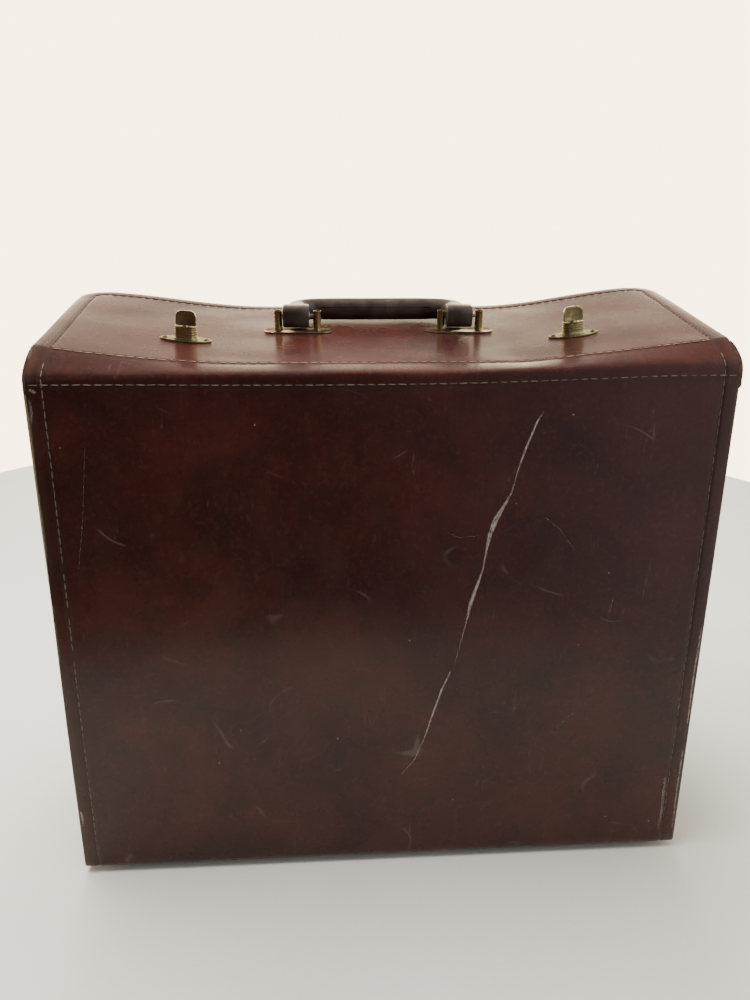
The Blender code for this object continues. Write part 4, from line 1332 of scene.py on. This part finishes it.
HANDLE_SHIFT = -0.0012
REACH = 0.036
DROP = 0.0026
GRIP = 0.0085
BEND = 0.016


def make_handle():
    matrix = shifted(face_frame(0, BRACKET[1], level=True), HANDLE_SHIFT, 0, PIN_HEIGHT)
    turns = span(0, math.pi / 2, 12)
    arc = [(BRACKET[0] - BEND * (1 - math.cos(t)), REACH - BEND * (1 - math.sin(t))) for t in turns]
    arm = [(BRACKET[0], 0.0035), (BRACKET[0], 0.0065)] + arc
    middle = [(x, REACH) for x in span(arc[-1][0], 0, 12)][1:]
    half = arm + middle
    path = [(-x, y) for x, y in half] + [(x, y) for x, y in reversed(half)][1:]
    points = [Vector((x, y, -DROP * y / REACH)) for x, y in path]
    route = []
    for index, point in enumerate(points):
        before = points[max(0, index - 1)]
        after = points[min(len(points) - 1, index + 1)]
        along = (after - before).normalized()
        across = Vector((0, 0, 1)).cross(along).normalized()
        up = along.cross(across)
        centre = abs(point.x) / BRACKET[0]
        size = GRIP * (1.0 - 0.05 * smooth(0.5, 0.95, centre))
        route.append((point, across, up, size))
    bm = bmesh.new()
    swept(bm, route, 2.35, 36)
    ends = [(-0.0100, 0.0072), (-0.0097, 0.0079), (-0.0088, 0.0083)]
    ends += [(-x, size) for x, size in reversed(ends)]
    rings = [(Vector((x, 0, 0)), Vector((0, 1, 0)), Vector((0, 0, 1)), size) for x, size in ends]
    for side in (-1, 1):
        place = Matrix.Translation((side * BRACKET[0], 0, 0))
        block = bmesh.new()
        swept(block, rings, 4.0, 40)
        bmesh.ops.transform(block, matrix=place, verts=block.verts[:])
        part = bpy.data.meshes.new("block")
        block.to_mesh(part)
        block.free()
        bm.from_mesh(part)
        bpy.data.meshes.remove(part)
    bmesh.ops.transform(bm, matrix=matrix, verts=bm.verts[:])
    hardware("handle_moulding", bm, PLASTIC, "plastic", "handle", "handle_grip", angle=40.0)
    for side, word in ((-1, "left"), (1, "right")):
        bm = bmesh.new()
        on_x = shifted(matrix, side * BRACKET[0]) @ Matrix.Rotation(math.pi / 2, 4, "Y")
        rings = [(-0.0104, 0.0018), (-0.0104, 0.0030), (-0.0101, 0.0032), (-0.0098, 0.0030)]
        turned(bm, rings + [(-z, r) for z, r in reversed(rings)], 24, on_x, hollow=True)
        hardware(f"{word}_eye_bush", bm, STEEL, "steel", "handle", f"{word}_pin_bush")


make_handle()


# ---------------------------------------------------------------- feet and marks


def make_feet():
    profile = [(0.0052, 0.0040), (0.0052, 0.0074), (0.0046, 0.0074), (0.0034, 0.0069), (0.0024, 0.0058)]
    profile += [(0.0012, 0.0046), (0.0004, 0.0040), (0.0, 0.0030)]
    for index in range(1, 5):
        low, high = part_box(f"foot_{index}")
        place = Matrix.Translation(((low.x + high.x) / 2, (low.y + high.y) / 2, 0))
        bm = bmesh.new()
        turned(bm, profile, 40, place)
        hardware(f"foot_stud_{index}", bm, BRASS, "brass", "case_body", f"foot_{index}")


def ribbon(bm, points, widths, strengths, place, lift=0.00006, step=0.0016):
    """A thin strip that lies on a surface, as a scratch does. PLACE gives a point and its normal."""
    side_layer = bm.verts.layers.float.get("side") or bm.verts.layers.float.new("side")
    strength_layer = bm.verts.layers.float.get("strength") or bm.verts.layers.float.new("strength")
    path = []
    for index in range(len(points) - 1):
        first, second = Vector(points[index]), Vector(points[index + 1])
        count = max(1, round((second - first).length / step))
        for i in range(count):
            t = i / count
            width = widths[index] + (widths[index + 1] - widths[index]) * t
            strength = strengths[index] + (strengths[index + 1] - strengths[index]) * t
            path.append((first.lerp(second, t), width, strength))
    path.append((Vector(points[-1]), widths[-1], strengths[-1]))
    rows = len(path) - 1
    offsets = (-1.0, -0.5, 0.0, 0.5, 1.0)
    made = bmesh.ops.create_grid(bm, x_segments=rows, y_segments=len(offsets) - 1, size=1)["verts"]
    for vert in made:
        index = round((vert.co.x + 1) / 2 * rows)
        offset = offsets[round((vert.co.y + 1) / 2 * (len(offsets) - 1))]
        centre, width, strength = path[index]
        before, after = path[max(0, index - 2)][0], path[min(rows, index + 2)][0]
        along = (after - before).normalized()
        across = Vector((-along.y, along.x))
        spot = centre + across * offset * width
        vert[side_layer] = abs(offset)
        vert[strength_layer] = strength
        vert.co, normal = place(spot)
        vert.co += normal * lift


def on_near_wall(spot):
    return Vector((spot.x, -HALF_DEPTH - bulge(spot.x, spot.y, NEAR_BULGE), spot.y)), Vector((0, -1, 0))


def make_marks():
    """Scratches and frayed places. Each point gives its place on the wall, half width and strength."""
    bm = bmesh.new()
    long_scratch = [
        ((0.105, 0.373), 0.0003, 0.5),
        ((0.101, 0.366), 0.0009, 0.8),
        ((0.094, 0.347), 0.0010, 0.9),
        ((0.089, 0.330), 0.0006, 0.6),
        ((0.086, 0.316), 0.0006, 0.55),
        ((0.081, 0.306), 0.0014, 0.8),
        ((0.076, 0.297), 0.0026, 1.0),
        ((0.072, 0.285), 0.0021, 0.95),
        ((0.070, 0.273), 0.0010, 0.8),
        ((0.068, 0.258), 0.0007, 0.7),
        ((0.064, 0.244), 0.0015, 0.95),
        ((0.060, 0.231), 0.0018, 0.9),
        ((0.058, 0.218), 0.0007, 0.55),
        ((0.054, 0.200), 0.0004, 0.4),
        ((0.050, 0.180), 0.0003, 0.15),
    ]
    lower_scratch = [
        ((0.047, 0.175), 0.0005, 0.9),
        ((0.041, 0.160), 0.0010, 1.0),
        ((0.035, 0.140), 0.0009, 0.95),
        ((0.029, 0.118), 0.0005, 0.7),
        ((0.021, 0.097), 0.0004, 0.5),
        ((0.012, 0.085), 0.0003, 0.3),
    ]
    hairs = [
        [((0.110, 0.298), 0.0003, 0.3), ((0.122, 0.288), 0.0003, 0.25), ((0.134, 0.272), 0.0003, 0.2)],
        [((0.040, 0.287), 0.0003, 0.2), ((0.050, 0.283), 0.0003, 0.3), ((0.064, 0.284), 0.0003, 0.2)],
        [((0.167, 0.232), 0.0004, 0.35), ((0.164, 0.214), 0.0003, 0.25)],
        [((0.160, 0.150), 0.0003, 0.2), ((0.127, 0.117), 0.0003, 0.2)],
        [((-0.204, 0.352), 0.0003, 0.2), ((-0.211, 0.300), 0.0003, 0.25), ((-0.218, 0.262), 0.0003, 0.15)],
    ]
    frays = [
        [((0.2385, 0.205), 0.0006, 0.5), ((0.2378, 0.160), 0.0009, 0.8), ((0.2385, 0.120), 0.0006, 0.6)],
        [((0.2380, 0.095), 0.0007, 0.6), ((0.2376, 0.060), 0.0008, 0.7), ((0.2384, 0.020), 0.0005, 0.5)],
        [((0.2262, 0.070), 0.0012, 0.25), ((0.2270, 0.040), 0.0016, 0.35), ((0.2262, 0.018), 0.0010, 0.2)],
        [((-0.2352, 0.391), 0.0010, 0.5), ((-0.2330, 0.3895), 0.0014, 0.8), ((-0.2312, 0.389), 0.0008, 0.4)],
        [
            ((-0.2362, 0.384), 0.0008, 0.25),
            ((-0.2358, 0.376), 0.0012, 0.35),
            ((-0.2364, 0.368), 0.0007, 0.2),
        ],
        [((-0.2385, 0.060), 0.0008, 0.7), ((-0.2378, 0.052), 0.0009, 0.8), ((-0.2385, 0.045), 0.0006, 0.5)],
    ]
    for line in [long_scratch, lower_scratch] + hairs + frays:
        ribbon(bm, *zip(*line), on_near_wall)
    wall_marks = piece("near_wall_scratches", bm, SCUFFED, 180.0)
    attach(wall_marks, "case_body")


make_feet()
make_marks()


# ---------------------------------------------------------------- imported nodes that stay

FINISH_OF_NODE = {"board": BOARD, "lining": CLOTH, "washer": STEEL, "strip": DARK_STEEL}
for name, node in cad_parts.items():
    for ending, finish in FINISH_OF_NODE.items():
        if name.endswith(ending):
            node.data.materials.clear()
            node.data.materials.append(finish)


# ---------------------------------------------------------------- floor, light and camera


def make_stage():
    bm = bmesh.new()
    behind = Matrix.Translation((0, 0.45, 0))
    bmesh.ops.create_circle(bm, cap_ends=True, segments=128, radius=0.95, matrix=behind)
    mesh = bpy.data.meshes.new("floor")
    bm.to_mesh(mesh)
    bm.free()
    floor = bpy.data.objects.new("floor", mesh)
    bpy.context.scene.collection.objects.link(floor)
    mesh.materials.append(floor_material())


def area_light(name, place, aim, size, power, colour):
    light = bpy.data.lights.new(name, "AREA")
    light.shape = "RECTANGLE"
    light.size, light.size_y = size
    light.energy = power
    light.color = colour
    obj = bpy.data.objects.new(name, light)
    bpy.context.scene.collection.objects.link(obj)
    obj.location = place
    obj.rotation_euler = (Vector(aim) - Vector(place)).to_track_quat("-Z", "Y").to_euler()
    return obj


def make_world():
    """Pale cream behind the case, dimmer overhead, and dark in front of it but for a grey right side."""
    world = bpy.data.worlds.new("studio")
    bpy.context.scene.world = world
    world.use_nodes = True
    tree = world.node_tree
    direction = add(tree, "ShaderNodeTexCoord").outputs["Generated"]
    parts = add(tree, "ShaderNodeSeparateXYZ", {"Vector": direction}).outputs
    behind = ranged(tree, parts[1], -0.15, 0.45)
    high = ranged(tree, parts[2], 0.24, 0.36)
    higher = ranged(tree, parts[2], 0.42, 0.66)
    right = ranged(tree, parts[0], 0.05, 0.50)
    above = ranged(tree, parts[2], 0.02, 0.20)
    dim = blend_colour(tree, above, (0.02, 0.018, 0.016), (0.10, 0.095, 0.09))
    front = blend_colour(tree, right, dim, (1.25, 1.20, 1.18))
    upper = blend_colour(tree, higher, (0.76, 0.64, 0.54), (0.62, 0.50, 0.42))
    back = blend_colour(tree, high, (7.0, 5.6, 3.7), upper)
    colour = blend_colour(tree, behind, front, back)
    tree.links.new(colour, tree.nodes["Background"].inputs["Color"])


LENS = 29.16
CAMERA_PLACE = (-0.0459, -0.635, 0.490)
CAMERA_FORWARD = (0.0634, 0.9466, -0.3161)
CAMERA_RIGHT = (0.9978, -0.0656, 0.0036)


def make_camera():
    camera = bpy.data.cameras.new("camera")
    camera.lens = LENS
    camera.sensor_width = 36
    obj = bpy.data.objects.new("camera", camera)
    bpy.context.scene.collection.objects.link(obj)
    forward = Vector(CAMERA_FORWARD).normalized()
    right = Vector(CAMERA_RIGHT)
    right = (right - right.dot(forward) * forward).normalized()
    up = right.cross(forward)
    turn = Matrix((right, up, -forward)).transposed().to_4x4()
    obj.matrix_world = Matrix.Translation(CAMERA_PLACE) @ turn
    bpy.context.scene.camera = obj


make_stage()
make_world()
overhead = area_light("overhead", (-0.30, 0.42, 1.75), (0, 0.30, 0.30), (2.2, 1.1), 92, (1.0, 0.95, 0.87))
area_light("front_fill", (-0.9, -1.6, 1.2), (0, 0, 0.25), (1.0, 1.0), 0.8, (1.0, 0.96, 0.90))
overhead.visible_glossy = False  # too broad to be mirrored in the bend's upper edge
make_camera()
